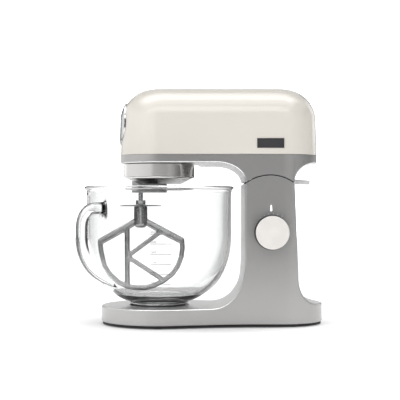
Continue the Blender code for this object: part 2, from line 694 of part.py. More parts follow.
def planetary():
    """The turning hub: its carrier, the main spindle and the big gear on top of it."""
    low, deck = 0.2083, 0.2165
    hub = turned(
        "planet_hub",
        [(0, 0.2195), (0.0488, 0.2195), (0.0488, deck), (0.0335, low), (0, low)],
    )
    pocket = arc((TOOL_X, 0), 0.0178, math.pi / 2, 3 * math.pi / 2, 10) + arc((-0.010, 0), 0.0178, -math.pi / 2, math.pi / 2, 10)
    cut(hub, extruded("hub_pocket", [pocket], 0.200, 0.2155))
    block = arc((TOOL_X, 0), 0.0134, math.pi / 2, 3 * math.pi / 2, 12) + arc((0, 0), 0.0114, -math.pi / 2, math.pi / 2, 12)
    join(hub, extruded("tool_block", [block], 0.1935, 0.2170))
    cut(hub, rod("tool_bore", (TOOL_X, 0, 0.19), (TOOL_X, 0, 0.225), 0.0078, segments=24))
    place(hub, PLANET, ALUMINIUM)
    spindle = turned(
        "main_spindle",
        [(0, 0.2870), (0.0068, 0.2865), (0.0068, 0.2765), (0.0080, 0.2765), (0.0080, 0.2198), (0, 0.2198)],
        segments=24,
    )
    place(spindle, PLANET, STEEL)
    bore = arc((0, 0), 0.0083, 0, 2 * math.pi, 24)[:-1]
    gear = extruded("main_gear", [gear_outline(MAIN_TEETH, (0, 0)), bore], 0.2600, 0.2700)
    place(gear, PLANET, STEEL)


def tool_drive():
    """The planet pinion and the spindle that holds the tool."""
    bore = arc((TOOL_X, 0), 0.0053, 0, 2 * math.pi, 20)[:-1]
    pinion = extruded("planet_pinion", [gear_outline(PLANET_TEETH, (TOOL_X, 0)), bore], 0.2215, 0.2315)
    place(pinion, TOOL, STEEL)
    spindle = turned(
        "tool_spindle",
        [(0, 0.2325), (0.0050, 0.2325), (0.0050, 0.2205), (0.0074, 0.2205), (0.0074, 0.1940), (0.0037, 0.1940)]
        + [(0.0037, 0.2125), (0, 0.2125)],
        (TOOL_X, 0),
        20,
    )
    place(spindle, TOOL, STEEL)


def layshaft():
    """The shaft between belt and main gear."""
    shaft = rod("layshaft", (LAYSHAFT_X, 0, GEARBOX_Z), (LAYSHAFT_X, 0, 0.3250), 0.0045)
    place(shaft, LAYSHAFT, STEEL)
    half_tooth = math.pi / PINION_TEETH
    bore = arc((LAYSHAFT_X, 0), 0.0048, 0, 2 * math.pi, 16)[:-1]
    outline = gear_outline(PINION_TEETH, (LAYSHAFT_X, 0), math.pi + half_tooth)
    place(extruded("drive_pinion", [outline, bore], 0.2595, 0.2705), LAYSHAFT, STEEL)
    low, high = BELT_Z
    wheel = turned(
        "belt_wheel",
        [(BELT_WHEEL_R, high), (BELT_WHEEL_R, low), (BELT_WHEEL_R - 0.004, low), (BELT_WHEEL_R - 0.004, low + 0.003)]
        + [(0.0048, low + 0.003), (0.0048, low + 0.006), (BELT_WHEEL_R - 0.004, low + 0.006)]
        + [(BELT_WHEEL_R - 0.004, high)],
        (LAYSHAFT_X, 0),
        28,
        ring=True,
    )
    place(wheel, LAYSHAFT, BLACK)


def motor():
    """The motor standing in the rear of the head: case, core, rotor, fan and pulley."""
    case = turned(
        "motor_case",
        [(0.0360, 0.3080), (0.0360, 0.2520), (0.0340, 0.2520), (0.0340, 0.3060), (0.0100, 0.3060), (0.0100, 0.3080)],
        (MOTOR_X, 0),
        24,
        ring=True,
    )
    place(case, HEAD, STEEL)
    core = turned(
        "stator_core",
        [(0.0337, 0.2930), (0.0337, 0.2680), (0.0245, 0.2680), (0.0245, 0.2930)],
        (MOTOR_X, 0),
        24,
        ring=True,
    )
    place(core, HEAD, COPPER)
    end = turned(
        "motor_end_plate",
        [(0.0360, 0.2517), (0.0360, 0.2490), (0.0045, 0.2490), (0.0045, 0.2517)],
        (MOTOR_X, 0),
        24,
        ring=True,
    )
    place(end, HEAD, ALUMINIUM)
    rotor = turned(
        "motor_rotor",
        [(0, 0.3240), (0.0038, 0.3240), (0.0038, 0.2935), (0.0235, 0.2935), (0.0235, 0.2675), (0.0038, 0.2675)]
        + [(0.0038, 0.2480), (0, 0.2480)],
        (MOTOR_X, 0),
        24,
    )
    place(rotor, MOTOR, STEEL)
    fan = turned(
        "cooling_fan",
        [(0.0070, 0.2640), (0.0070, 0.2560), (0.0300, 0.2560), (0.0300, 0.2545), (0.0041, 0.2545), (0.0041, 0.2640)],
        (MOTOR_X, 0),
        24,
        ring=True,
    )
    blades = 5
    for i in range(blades):
        blade = box(f"blade_{i}", (0.0060, -0.0007, 0.2550), (0.0290, 0.0007, 0.2630))
        blade.data.transform(Matrix.Translation((MOTOR_X, 0, 0)) @ Matrix.Rotation(2 * math.pi * i / blades, 4, "Z"))
        join(fan, blade)
    place(fan, MOTOR, BLACK)
    low, high = BELT_Z
    pulley = turned(
        "motor_pulley",
        [(0.0105, high + 0.0012), (0.0105, high + 0.0003), (MOTOR_PULLEY_R, high + 0.0003), (MOTOR_PULLEY_R, low - 0.0003)]
        + [(0.0105, low - 0.0003), (0.0105, low - 0.0012), (0.0041, low - 0.0012), (0.0041, high + 0.0012)],
        (MOTOR_X, 0),
        24,
        ring=True,
    )
    place(pulley, MOTOR, STEEL)


def belt():
    """The belt: the outside of the two wheels' common tangents, less the inside."""
    span = MOTOR_X - LAYSHAFT_X

    def loop(extra):
        wheel, pulley = BELT_WHEEL_R + extra, MOTOR_PULLEY_R + extra
        lean = math.acos((wheel - pulley) / span)
        return arc((MOTOR_X, 0), pulley, -lean, lean, 10) + arc((LAYSHAFT_X, 0), wheel, lean, 2 * math.pi - lean, 30)

    low, high = BELT_Z
    place(extruded("drive_belt", [loop(0.0004 + BELT_THICKNESS), loop(0.0004)], low + GAP, high - GAP), HEAD, RUBBER)


def gearbox():
    """The frame that holds the spindle and the layshaft, its bearings and its screws."""
    outline = arc((0, 0), 0.025, math.pi / 2, 3 * math.pi / 2, 8)
    outline += arc((0.060, 0), 0.025, -math.pi / 2, math.pi / 2, 8)
    frame = extruded("gearbox_frame", [outline], GEARBOX_Z, GEARBOX_Z + 0.004)
    join(frame, extruded("gearbox_deck", [outline], 0.2790, 0.2830))
    join(frame, box("gearbox_wall", (0.0795, -0.016, GEARBOX_Z + 0.001), (0.0835, 0.016, 0.2820)))
    for i, x in enumerate((0.0, LAYSHAFT_X)):
        cut(frame, rod(f"shaft_hole_{i}", (x, 0, 0.23), (x, 0, 0.30), 0.0098))
    place(frame, HEAD, ALUMINIUM)
    for name, x, z, inner in (
        ("spindle_bearing_lower", 0.0, GEARBOX_Z, 0.0083),
        ("spindle_bearing_upper", 0.0, 0.2792, 0.0071),
        ("layshaft_bearing_lower", LAYSHAFT_X, GEARBOX_Z, 0.0048),
        ("layshaft_bearing_upper", LAYSHAFT_X, 0.2792, 0.0048),
    ):
        race = turned(name, [(0.0095, z + 0.0036), (0.0095, z), (inner, z), (inner, z + 0.0036)], (x, 0), 16, ring=True)
        place(race, HEAD, BRONZE)


# ---------------------------------------------------------------- bowl
def bowl_profile():
    """The glass bowl's section: down its outside from the rim, under the foot, and up its inside."""
    outside = [
        (RIM_R - 0.0014, RIM_Z),
        (RIM_R, RIM_Z - 0.0015),
        (RIM_R, RIM_Z - 0.0038),
        (RIM_R - BEAD * 2, RIM_Z - 0.0062),
    ]
    outside += quarter((0.0432, 0.133), 0.0650, -0.0945, 2.08, 7)[:-2]
    outside += [(0.0655, 0.0434), (0.0600, 0.0399), (0.0535, 0.0367), (0.0465, 0.0341)]
    foot = [(0.0437, FOOT_Z + 0.0018), (0.0417, FOOT_Z), (0.0362, FOOT_Z), (0.0350, 0.0360), (0, 0.0366)]
    inside = [(0, 0.0418)] + quarter((0.0360, 0.133), 0.0678, -0.0912, 2.05, 7)[::-1]
    inside += [(0.1044, RIM_Z - 0.0045), (0.1062, RIM_Z - 0.0006)]
    return inside + outside + foot


def glass_bowl():
    """The bowl, with its pouring lip and the glass handle opposite it."""
    bowl = turned("glass_bowl", bowl_profile(), segments=40)
    azimuth = HANDLE_AZIMUTH - math.pi
    for vertex in bowl.data.vertices:
        x, y, z = vertex.co
        turn = (math.atan2(y, x) - azimuth + math.pi) % (2 * math.pi) - math.pi
        share = max(0.0, 1 - abs(turn) / math.radians(13)) * max(0.0, 1 - (RIM_Z - z) / 0.020)
        if math.hypot(x, y) > 0.09 and share > 0:
            push = SPOUT_OUT * math.sin(share * math.pi / 2) ** 2 / math.hypot(x, y)
            vertex.co = (x * (1 + push), y * (1 + push), z)
    join(bowl, bowl_handle())
    place(bowl, BOWL, GLASS)


def bowl_handle():
    """A glass bar in the upright plane through the bowl's axis, fused to the wall at both its ends."""
    route = [(0.1062, 0.1724, 0.0108), (0.1110, 0.1724, 0.0098), (0.1160, 0.1724, 0.0086)]
    route += [(r, z, HANDLE_R) for r, z in arc((0.1245, 0.1504), 0.022, math.pi / 2, 0, 4)]
    route += [(0.1465, 0.1290, HANDLE_R), (0.1440, 0.1120, HANDLE_R), (0.1370, 0.0975, 0.0082)]
    route += [(0.1260, 0.0850, 0.0078), (0.1130, 0.0755, 0.0070), (0.0985, 0.0672, 0.0052), (0.0840, 0.0596, 0.0020)]
    heading = Vector((math.cos(HANDLE_AZIMUTH), math.sin(HANDLE_AZIMUTH)))
    points = [(heading.x * r, heading.y * r, z) for r, z, _ in route]
    return tube("bowl_handle", points, [radius for _, _, radius in route], sides=3)


def lock_ring():
    """The collar under the bowl, with three lugs that slide below the seat's lips."""
    ring = turned(
        "lock_ring",
        [(LOCK_RING_R, FOOT_Z - GAP), (LOCK_RING_R, 0.0226), (0.0330, 0.0226), (0.0330, FOOT_Z - GAP)],
        ring=True,
        segments=36,
    )
    for i in range(LUG_COUNT):
        middle = 2 * math.pi * i / LUG_COUNT
        lug = arc((0, 0), 0.0424, middle - LUG_HALF + 0.02, middle + LUG_HALF - 0.02, 5)
        lug += arc((0, 0), LOCK_RING_R - 0.001, middle + LUG_HALF - 0.02, middle - LUG_HALF + 0.02, 5)
        join(ring, extruded(f"lug_{i}", [lug], 0.0229, 0.0256))
    place(ring, BOWL, BLACK)


# ---------------------------------------------------------------- beater
def bar_between(name, start, end, width):
    """A flat bar of the beater, between two points of its plane."""
    start, end = Vector(start), Vector(end)
    along_bar = (end - start).normalized()
    across = Vector((-along_bar.y, along_bar.x)) * width / 2
    outline = [tuple(start - across), tuple(end - across), tuple(end + across), tuple(start + across)]
    outline = [(x + TOOL_X, z) for x, z in outline]
    return extruded(name, [outline], -BEATER_T / 2 + 0.0003, BEATER_T / 2 - 0.0003, upright=True)


def beater_outline(margin):
    """The beater's rim seen from the front: a roof over a half ellipse."""
    shoulder_x = BEATER_HALF_W - 0.0012 - margin
    half = quarter((0, BEATER_MID_Z), BEATER_HALF_W - margin, -(BEATER_DROP - margin), 2, 12)
    roof = [(0.0, 0.1575 - 1.15 * margin), (shoulder_x - 0.002, 0.1256 - 1.1 * margin), (shoulder_x, 0.1238 - 1.1 * margin)]
    right = roof + half
    left = [(-x, z) for x, z in right[1:-1]][::-1]
    return [(x + TOOL_X, z) for x, z in right + left]


def beater():
    """The flat beater: cast frame with its struts, the drip disc, the height nut and the shaft."""
    frame = extruded("beater_frame", [beater_outline(0.0), beater_outline(0.0066)], -BEATER_T / 2, BEATER_T / 2, upright=True)
    join(frame, bar_between("upright", (-0.0202, 0.140), (-0.0202, 0.053), 0.0074))
    join(frame, bar_between("upper_strut", (-0.020, 0.0985), (0.0335, 0.1365), 0.0064))
    join(frame, bar_between("lower_strut", (-0.020, 0.0985), (0.0370, 0.0620), 0.0064))
    sleeve = turned(
        "sleeve",
        [(0, 0.1745), (0.0100, 0.1745), (0.0103, 0.1480), (0.0085, 0.1436), (0, 0.1425)],
        (TOOL_X, 0),
        24,
    )
    join(frame, sleeve)
    cut(frame, rod("sleeve_bore", (TOOL_X, 0, 0.1520), (TOOL_X, 0, 0.180), 0.0037, segments=16))
    place(frame, TOOL, ALUMINIUM)
    disc = turned(
        "drip_disc",
        [(0.0318, 0.1757), (0.0318, 0.1748), (0.0250, 0.1752), (0.0037, 0.1752), (0.0037, 0.1768), (0.0250, 0.1768)],
        (TOOL_X, 0),
        24,
        ring=True,
    )
    place(disc, TOOL, STEEL)
    nut = extruded(
        "height_nut",
        [arc((TOOL_X, 0), 0.0072, 0, 2 * math.pi, 6)[:-1], arc((TOOL_X, 0), 0.0037, 0, 2 * math.pi, 16)[:-1]],
        0.1771,
        0.1838,
    )
    place(nut, TOOL, STEEL)
    place(rod("beater_shaft", (TOOL_X, 0, 0.1525), (TOOL_X, 0, 0.2120), 0.0034, segments=16), TOOL, STEEL)


base_stand()
underside()
bowl_seat()
hinge()
controls()
head_frame()
head_cover()
outlet()
badge()
release_lever()
hub_housing()
planetary()
tool_drive()
layshaft()
motor()
belt()
gearbox()
glass_bowl()
lock_ring()
beater()
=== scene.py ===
"""The looks of the tilt-head stand mixer: fine shells, glass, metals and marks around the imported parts.

Metres, in the row frame. Shapes are made with x counted from the bowl's axis, and settle() carries them over. Points
that are written in millimetres go through mm().
"""

import json
from math import acos, atan2, cos, hypot, pi, radians, sin, tan

import bmesh
import bpy
from mathutils import Matrix, Vector


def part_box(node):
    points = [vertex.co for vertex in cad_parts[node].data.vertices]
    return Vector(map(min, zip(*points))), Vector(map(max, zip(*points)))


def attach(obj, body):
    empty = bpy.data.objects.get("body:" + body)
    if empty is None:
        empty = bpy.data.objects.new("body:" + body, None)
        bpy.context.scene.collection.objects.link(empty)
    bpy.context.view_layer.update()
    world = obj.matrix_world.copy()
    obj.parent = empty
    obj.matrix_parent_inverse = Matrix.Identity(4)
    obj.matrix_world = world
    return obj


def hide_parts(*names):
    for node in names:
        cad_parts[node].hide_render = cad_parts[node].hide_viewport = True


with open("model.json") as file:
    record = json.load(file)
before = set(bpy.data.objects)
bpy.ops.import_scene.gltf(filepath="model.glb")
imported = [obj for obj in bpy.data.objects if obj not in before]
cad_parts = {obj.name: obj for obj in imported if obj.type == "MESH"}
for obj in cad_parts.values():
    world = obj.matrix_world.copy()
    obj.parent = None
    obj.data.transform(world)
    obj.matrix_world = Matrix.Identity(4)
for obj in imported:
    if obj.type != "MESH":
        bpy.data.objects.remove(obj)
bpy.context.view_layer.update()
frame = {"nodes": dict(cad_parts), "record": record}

# ---- places and sizes, most of them read from the frame
MM = 0.001


def mm(points):
    return [tuple(c * MM for c in point) for point in points]


def middle(node):
    low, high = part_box(node)
    return (low + high) / 2


def span(node, axis):
    low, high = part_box(node)
    return high[axis] - low[axis]


def heights(node):
    low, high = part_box(node)
    return low.z, high.z


AXIS_X = middle("main_spindle").x  # the bowl's and the planetary drive's axis
GAP = 0.3 * MM  # between a fine piece and the one it sits in
WELD = 1e-6

# the stand: a disc round the bowl's axis that runs into a pillar as wide as the head
DISC_R = max(span("base_stand", 1) / 2, AXIS_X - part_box("base_stand")[0].x)
HALF_WIDTH = span("head_frame", 1) / 2
SIDE_Y = -HALF_WIDTH
REAR_CENTRE_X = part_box("base_stand")[1].x - HALF_WIDTH - AXIS_X
BLEND_ANGLE = radians(75)  # where the disc's edge turns off to the pillar
BLEND_END_X = 150 * MM
SKIRT_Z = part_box("base_stand")[0].z
DECK_Z = 28 * MM
WALL = 3 * MM
PILLAR_FRONT_X = 126.9 * MM
PILLAR_REAR_X = 198 * MM
PILLAR_REAR_FOOT_X = 203.5 * MM
CROWN = 4.5 * MM  # how far the pillar's front swells between its sides
FINE_EDGE = 0.15 * MM  # rounding of the edges along the parting and the seam
HINGE_X, HINGE_Z = middle("tilt_pin").x - AXIS_X, middle("tilt_pin").z
DOME_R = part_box("base_stand")[1].z - HINGE_Z
PARTING = 1.8 * MM  # the gap between the pillar's dome and the head's neck
TILT_SLOT = (radians(55), radians(125))  # where the hinge arm swings in the dome
FEET = ("foot_front", "foot_front_left", "foot_front_right", "foot_rear_left", "foot_rear_right")
DIAL_X, DIAL_Z = middle("speed_dial").x - AXIS_X, middle("speed_dial").z
DIAL_R = span("speed_dial", 0) / 2
DIAL_FACE_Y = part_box("speed_dial")[0].y

# the head
BELLY_Z = 238.5 * MM
SEAM_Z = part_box("head_frame")[1].z
HEAD_TOP_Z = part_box("head_cover")[1].z
HEAD_FRONT_CENTRE_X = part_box("head_frame")[0].x + HALF_WIDTH - AXIS_X
HEAD_REAR_CENTRE_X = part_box("head_frame")[1].x - HALF_WIDTH - AXIS_X
CROWN_R = 47.8 * MM
COVER_WALL = 2.5 * MM
COVER_DRAFT = 1.6 * MM  # how far the cover's ends lean in, from its seam to its crown
OUTLET_Z = middle("outlet_cover").z
OUTLET_R = span("outlet_cover", 1) / 2
LEVER_X, LEVER_Z = middle("lever_pin").x - AXIS_X, middle("lever_pin").z
HUB_R = span("hub_housing", 1) / 2
HUB_BOTTOM_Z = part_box("hub_housing")[0].z
TOOL_X = middle("tool_spindle").x - AXIS_X
TOOL_BORE_R = 3.7 * MM

# the bowl
FOOT_Z, RIM_Z = heights("glass_bowl")
RIM_R = span("glass_bowl", 1) / 2
HANDLE_AZIMUTH = radians(224)
SPOUT_OUT = 7 * MM


# ---- shapes
def show(obj):
    bpy.context.scene.collection.objects.link(obj)
    return obj


def solid(name, bm, sharp=35):
    bmesh.ops.remove_doubles(bm, verts=bm.verts, dist=WELD)
    bmesh.ops.recalc_face_normals(bm, faces=bm.faces)
    mesh = bpy.data.meshes.new(name)
    bm.to_mesh(mesh)
    bm.free()
    mesh.shade_smooth()
    mesh.set_sharp_from_angle(angle=radians(sharp))
    return bpy.data.objects.new(name, mesh)


def opened(obj):
    bm = bmesh.new()
    bm.from_mesh(obj.data)
    return bm


def evaluated(source):
    """The source's mesh with its modifiers applied; the source is removed."""
    show(source)
    graph = bpy.context.evaluated_depsgraph_get()
    mesh = bpy.data.meshes.new_from_object(source.evaluated_get(graph))
    mesh.transform(source.matrix_world)
    bpy.data.objects.remove(source)
    return mesh


def frozen(source, name, sharp=35):
    mesh = evaluated(source)
    bm = bmesh.new()
    bm.from_mesh(mesh)
    bpy.data.meshes.remove(mesh)
    return solid(name, bm, sharp)


def boolean(obj, other, operation, sharp=35):
    """obj cut by, joined to or met with other, applied at once."""
    name = obj.name
    show(other)
    step = obj.modifiers.new("step", "BOOLEAN")
    step.object = other
    step.operation = operation
    made = frozen(obj, name, sharp)
    bpy.data.objects.remove(other)
    return made


def cut(obj, other, sharp=35):
    return boolean(obj, other, "DIFFERENCE", sharp)


def join(obj, other, sharp=35):
    return boolean(obj, other, "UNION", sharp)


def rod(start, end, radius, segments=48):
    start, end = Vector(start), Vector(end)
    turn = (end - start).to_track_quat("Z", "Y").to_matrix().to_4x4()
    bm = bmesh.new()
    bmesh.ops.create_cone(
        bm,
        cap_ends=True,
        segments=segments,
        radius1=radius,
        radius2=radius,
        depth=(end - start).length,
        matrix=Matrix.Translation((start + end) / 2) @ turn,
    )
    return solid("rod", bm)


def box(name, low, high, round_edges=0.0):
    bm = bmesh.new()
    size = Vector(high) - Vector(low)
    centre = (Vector(high) + Vector(low)) / 2
    bmesh.ops.create_cube(bm, size=1, matrix=Matrix.Translation(centre) @ Matrix.Diagonal((*size, 1)))
    if round_edges:
        bmesh.ops.bevel(bm, geom=bm.edges[:], offset=round_edges, segments=3, profile=0.5, affect="EDGES")
    return solid(name, bm)


def turned(name, profile, centre=(0, 0), segments=96, ring=False, sharp=35):
    """A profile of (radius, height) points turned about the vertical through centre. A ring's profile is closed."""
    mesh = bpy.data.meshes.new(name)
    count = len(profile)
    edges = [(i, (i + 1) % count) for i in range(count if ring else count - 1)]
    mesh.from_pydata([(r, 0, z) for r, z in profile], edges, [])
    source = bpy.data.objects.new(name, mesh)
    screw = source.modifiers.new("turn", "SCREW")
    screw.axis = "Z"
    screw.steps = screw.render_steps = segments
    screw.use_merge_vertices = True
    screw.merge_threshold = WELD
    made = frozen(source, name, sharp)
    made.data.transform(Matrix.Translation((*centre, 0)))
    return made


def softened(profile, radius, steps=3, ring=False):
    """A profile with each sharp corner rounded to about the radius."""
    count = len(profile)
    result = []
    for i, here in enumerate(profile):
        if not ring and i in (0, count - 1):
            result.append(here)
            continue
        here = Vector(here)
        before = Vector(profile[i - 1]) - here
        after = Vector(profile[(i + 1) % count]) - here
        if before.length < WELD or after.length < WELD:
            continue
        bend = pi - before.angle(after)
        if bend < radians(20):
            result.append(tuple(here))
            continue
        reach = min(radius * tan(bend / 2), before.length * 0.45, after.length * 0.45)
        first, last = here + before.normalized() * reach, here + after.normalized() * reach
        for k in range(steps + 1):
            t = k / steps
            result.append(tuple(first * (1 - t) ** 2 + here * 2 * t * (1 - t) + last * t**2))
    return result


def hoop(name, profile, radius, steps, segments=96):
    """A closed profile with rounded corners, turned about the vertical."""
    return turned(name, softened(profile, radius, steps, ring=True), segments=segments, ring=True)


def extruded(name, outlines, low, high, upright=False, bevel=0.0, sharp=35):
    """Closed outlines, the later ones holes, as a plate from low to high along Z, or along Y if upright."""
    curve = bpy.data.curves.new(name, "CURVE")
    curve.dimensions = "2D"
    curve.fill_mode = "BOTH"
    curve.extrude = (high - low) / 2 - bevel
    if bevel:
        curve.bevel_depth = bevel
        curve.bevel_resolution = 2
        curve.offset = -bevel
    for outline in outlines:
        spline = curve.splines.new("POLY")
        spline.points.add(len(outline) - 1)
        for point, (u, v) in zip(spline.points, outline):
            point.co = (u, v, 0, 1)
        spline.use_cyclic_u = True
    made = frozen(bpy.data.objects.new(name, curve), name, sharp)
    if upright:  # the outline's second axis becomes Z
        made.data.transform(Matrix.Translation((0, (low + high) / 2, 0)) @ Matrix.Rotation(pi / 2, 4, "X"))
    else:
        made.data.transform(Matrix.Translation((0, 0, (low + high) / 2)))
    return made


def met(name, plan, low, high, side, half):
    """What a plan from low to high has in common with a side view that reaches half to either side."""
    return boolean(extruded(name, [plan], low, high), extruded("side", [side], -half, half, upright=True), "INTERSECT")


def tube(name, points, radii, sides, sharp):
    curve = bpy.data.curves.new(name, "CURVE")
    curve.dimensions = "3D"
    curve.bevel_depth = 1.0
    curve.bevel_resolution = sides
    curve.use_fill_caps = True
    spline = curve.splines.new("POLY")
    spline.points.add(len(points) - 1)
    for target, point, radius in zip(spline.points, points, radii):
        target.co = (*point, 1)
        target.radius = radius
    return frozen(bpy.data.objects.new(name, curve), name, sharp)


# ---- outlines
def arc(centre, radius, start, end, count):
    turns = [start + (end - start) * i / count for i in range(count + 1)]
    return [(centre[0] + radius * cos(t), centre[1] + radius * sin(t)) for t in turns]


def quarter(centre, across, up, power, count):
    """A quarter of a superellipse, from the end of its across arm to the end of its up arm."""
    turns = [pi / 2 * i / count for i in range(count + 1)]
    bend = 2 / power
    return [(centre[0] + across * abs(cos(t)) ** bend, centre[1] + up * abs(sin(t)) ** bend) for t in turns]


def inset(outline, distance):
    """The outline moved inwards by a distance, or by one distance an edge, each corner mitred. Anticlockwise."""
    count = len(outline)
    by = [distance] * count if isinstance(distance, float) else distance
    lines = []
    for i in range(count):
        here, there = Vector(outline[i]), Vector(outline[(i + 1) % count])
        way = (there - here).normalized()
        lines.append((here + Vector((-way.y, way.x)) * by[i], way))
    moved = []
    for i in range(count):
        (p, d), (q, e) = lines[i - 1], lines[i]
        cross = d.x * e.y - d.y * e.x
        if abs(cross) < 1e-4:
            moved.append(tuple(q))
        else:
            t = ((q.x - p.x) * e.y - (q.y - p.y) * e.x) / cross
            moved.append(tuple(p + d * t))
    return moved


def smooth_route(points, steps):
    """Catmull-Rom points through a route of tuples of any length."""
    route = [points[0]] + list(points) + [points[-1]]
    result = []
    for i in range(1, len(route) - 2):
        for k in range(steps):
            t = k / steps
            weights = (
                -0.5 * t**3 + t**2 - 0.5 * t,
                1.5 * t**3 - 2.5 * t**2 + 1,
                -1.5 * t**3 + 2 * t**2 + 0.5 * t,
                0.5 * t**3 - 0.5 * t**2,
            )
            around = route[i - 1 : i + 3]
            result.append(tuple(sum(w * p[c] for w, p in zip(weights, around)) for c in range(len(points[0]))))
    return result + [tuple(points[-1])]


def stand_plan(margin=0.0, round_steps=40, disc_steps=72, blend_steps=16):
    disc, side = DISC_R - margin, HALF_WIDTH - margin
    start = Vector((cos(BLEND_ANGLE), sin(BLEND_ANGLE))) * disc
    slope = -start.x / start.y
    length = BLEND_END_X - start.x
    blend = []
    for i in range(1, blend_steps):
        t = i / blend_steps
        width = (2 * t**3 - 3 * t**2 + 1) * start.y + (t**3 - 2 * t**2 + t) * length * slope
        width += (3 * t**2 - 2 * t**3) * side
        blend.append((start.x + length * t, width))
    points = arc((REAR_CENTRE_X, 0), side, -pi / 2, pi / 2, round_steps)
    points += [(BLEND_END_X, side)] + blend[::-1]
    points += arc((0, 0), disc, BLEND_ANGLE, 2 * pi - BLEND_ANGLE, disc_steps)
    points += [(x, -y) for x, y in blend] + [(BLEND_END_X, -side)]
    return points


def front_fillet():
    return quarter((76 * MM, 100 * MM), PILLAR_FRONT_X - 76 * MM, DECK_Z - 100 * MM, 2.2, 24)


def pillar_angles(radius):
    """Where a circle round the hinge crosses the pillar's rear and its front."""
    return acos((PILLAR_REAR_X - HINGE_X) / radius), acos((PILLAR_FRONT_X - HINGE_X) / radius)


def stand_profile():
    right, left = pillar_angles(DOME_R)
    points = [(-0.1, SKIRT_Z), (0.26, SKIRT_Z), (0.26, 31.5 * MM)]
    points += quarter((243 * MM, 76 * MM), PILLAR_REAR_FOOT_X - 243 * MM, -44.5 * MM, 2.5, 20)[::-1]
    points += arc((HINGE_X, HINGE_Z), DOME_R, right, left, 32)
    upper = [(PILLAR_FRONT_X, 100 * MM + (HINGE_Z - 65 * MM) * i / 8) for i in range(8, 0, -1)]
    top = HINGE_Z + DOME_R * sin(left)
    points += [p for p in upper if p[1] < top - 2 * MM]
    return points + front_fillet() + [(-0.1, DECK_Z)]


def head_plan(margin=0.0, ends=40, lean=0.0):
    side = HALF_WIDTH - margin
    rear = arc((HEAD_REAR_CENTRE_X - lean, 0), side, -pi / 2, pi / 2, ends)
    return rear + arc((HEAD_FRONT_CENTRE_X + lean, 0), side, pi / 2, 3 * pi / 2, ends)


def neck_foot_z():
    radius = DOME_R + PARTING
    return HINGE_Z + radius * sin(pillar_angles(radius)[0])


def neck_front():
    foot_z = neck_foot_z()
    return quarter((84 * MM, foot_z), PILLAR_FRONT_X - 84 * MM, BELLY_Z - foot_z, 2, 18)


def neck_profile():
    radius, foot_z = DOME_R + PARTING, neck_foot_z()
    right, left = pillar_angles(radius)
    points = [(-0.08, SEAM_Z), (-0.08, BELLY_Z)] + neck_front()[::-1]
    points += arc((HINGE_X, HINGE_Z), radius, left, right, 32)[1:-1]
    points += quarter((234 * MM, foot_z), PILLAR_REAR_X - 234 * MM, BELLY_Z - foot_z, 2, 18)
    return points + [(0.25, BELLY_Z), (0.25, SEAM_Z)]


# ---- rounding and crowning of the castings
def on_parting(point):
    reach = hypot(point.x - HINGE_X, point.z - HINGE_Z)
    return DOME_R - 0.4 * MM < reach < DOME_R + PARTING + 0.2 * MM and point.z > HINGE_Z


def sharp_edges(bm, degrees):
    return [e for e in bm.edges if len(e.link_faces) == 2 and e.calc_face_angle() > radians(degrees)]


def round_edges(obj, soft, fine, is_fine):
    """Rounds every sharp edge: by fine where is_fine says so of both its ends, and by soft elsewhere."""
    bm = opened(obj)
    large = [e for e in sharp_edges(bm, 40) if not all(is_fine(v.co) for v in e.verts)]
    bmesh.ops.bevel(bm, geom=large, offset=soft, segments=4, profile=0.5, affect="EDGES", clamp_overlap=False)
    small = [e for e in sharp_edges(bm, 50) if all(is_fine(v.co) for v in e.verts)]
    bmesh.ops.bevel(bm, geom=small, offset=fine, segments=2, profile=0.5, affect="EDGES", clamp_overlap=True)
    name = obj.name
    bpy.data.objects.remove(obj)
    return solid(name, bm)


def crown_front(obj, path, amount, across=()):
    """Swells the faces along a path of (x, z, share) points, most halfway between the two sides."""
    bm = opened(obj)
    slices = 10
    planes = [((x, 0, 0), (1, 0, 0)) for x in across]
    planes += [((0, HALF_WIDTH * (2 * i / slices - 1), 0), (0, 1, 0)) for i in range(1, slices)]
    for point, normal in planes:
        whole = bm.verts[:] + bm.edges[:] + bm.faces[:]
        bmesh.ops.bisect_plane(bm, geom=whole, plane_co=point, plane_no=normal)
    for vertex in bm.verts:
        for (x0, z0, s0), (x1, z1, s1) in zip(path, path[1:]):
            way = Vector((x1 - x0, z1 - z0))
            to = Vector((vertex.co.x - x0, vertex.co.z - z0))
            t = to.dot(way) / way.length_squared
            if -0.001 <= t <= 1.001 and (to - way * t).length < 5 * WELD:
                normal = Vector((-way.y, way.x)).normalized()
                bow = max(0.0, 1 - (vertex.co.y / HALF_WIDTH) ** 2)
                push = normal * amount * bow * (s0 + (s1 - s0) * t)
                vertex.co.x += push.x
                vertex.co.z += push.y
                break
    name = obj.name
    bpy.data.objects.remove(obj)
    return solid(name, bm)


def weighted(obj):
    """Flat faces keep flat shading beside their rounded edges."""
    step = obj.modifiers.new("weighted", "WEIGHTED_NORMAL")
    step.keep_sharp = True
    step.weight = 70
    return obj


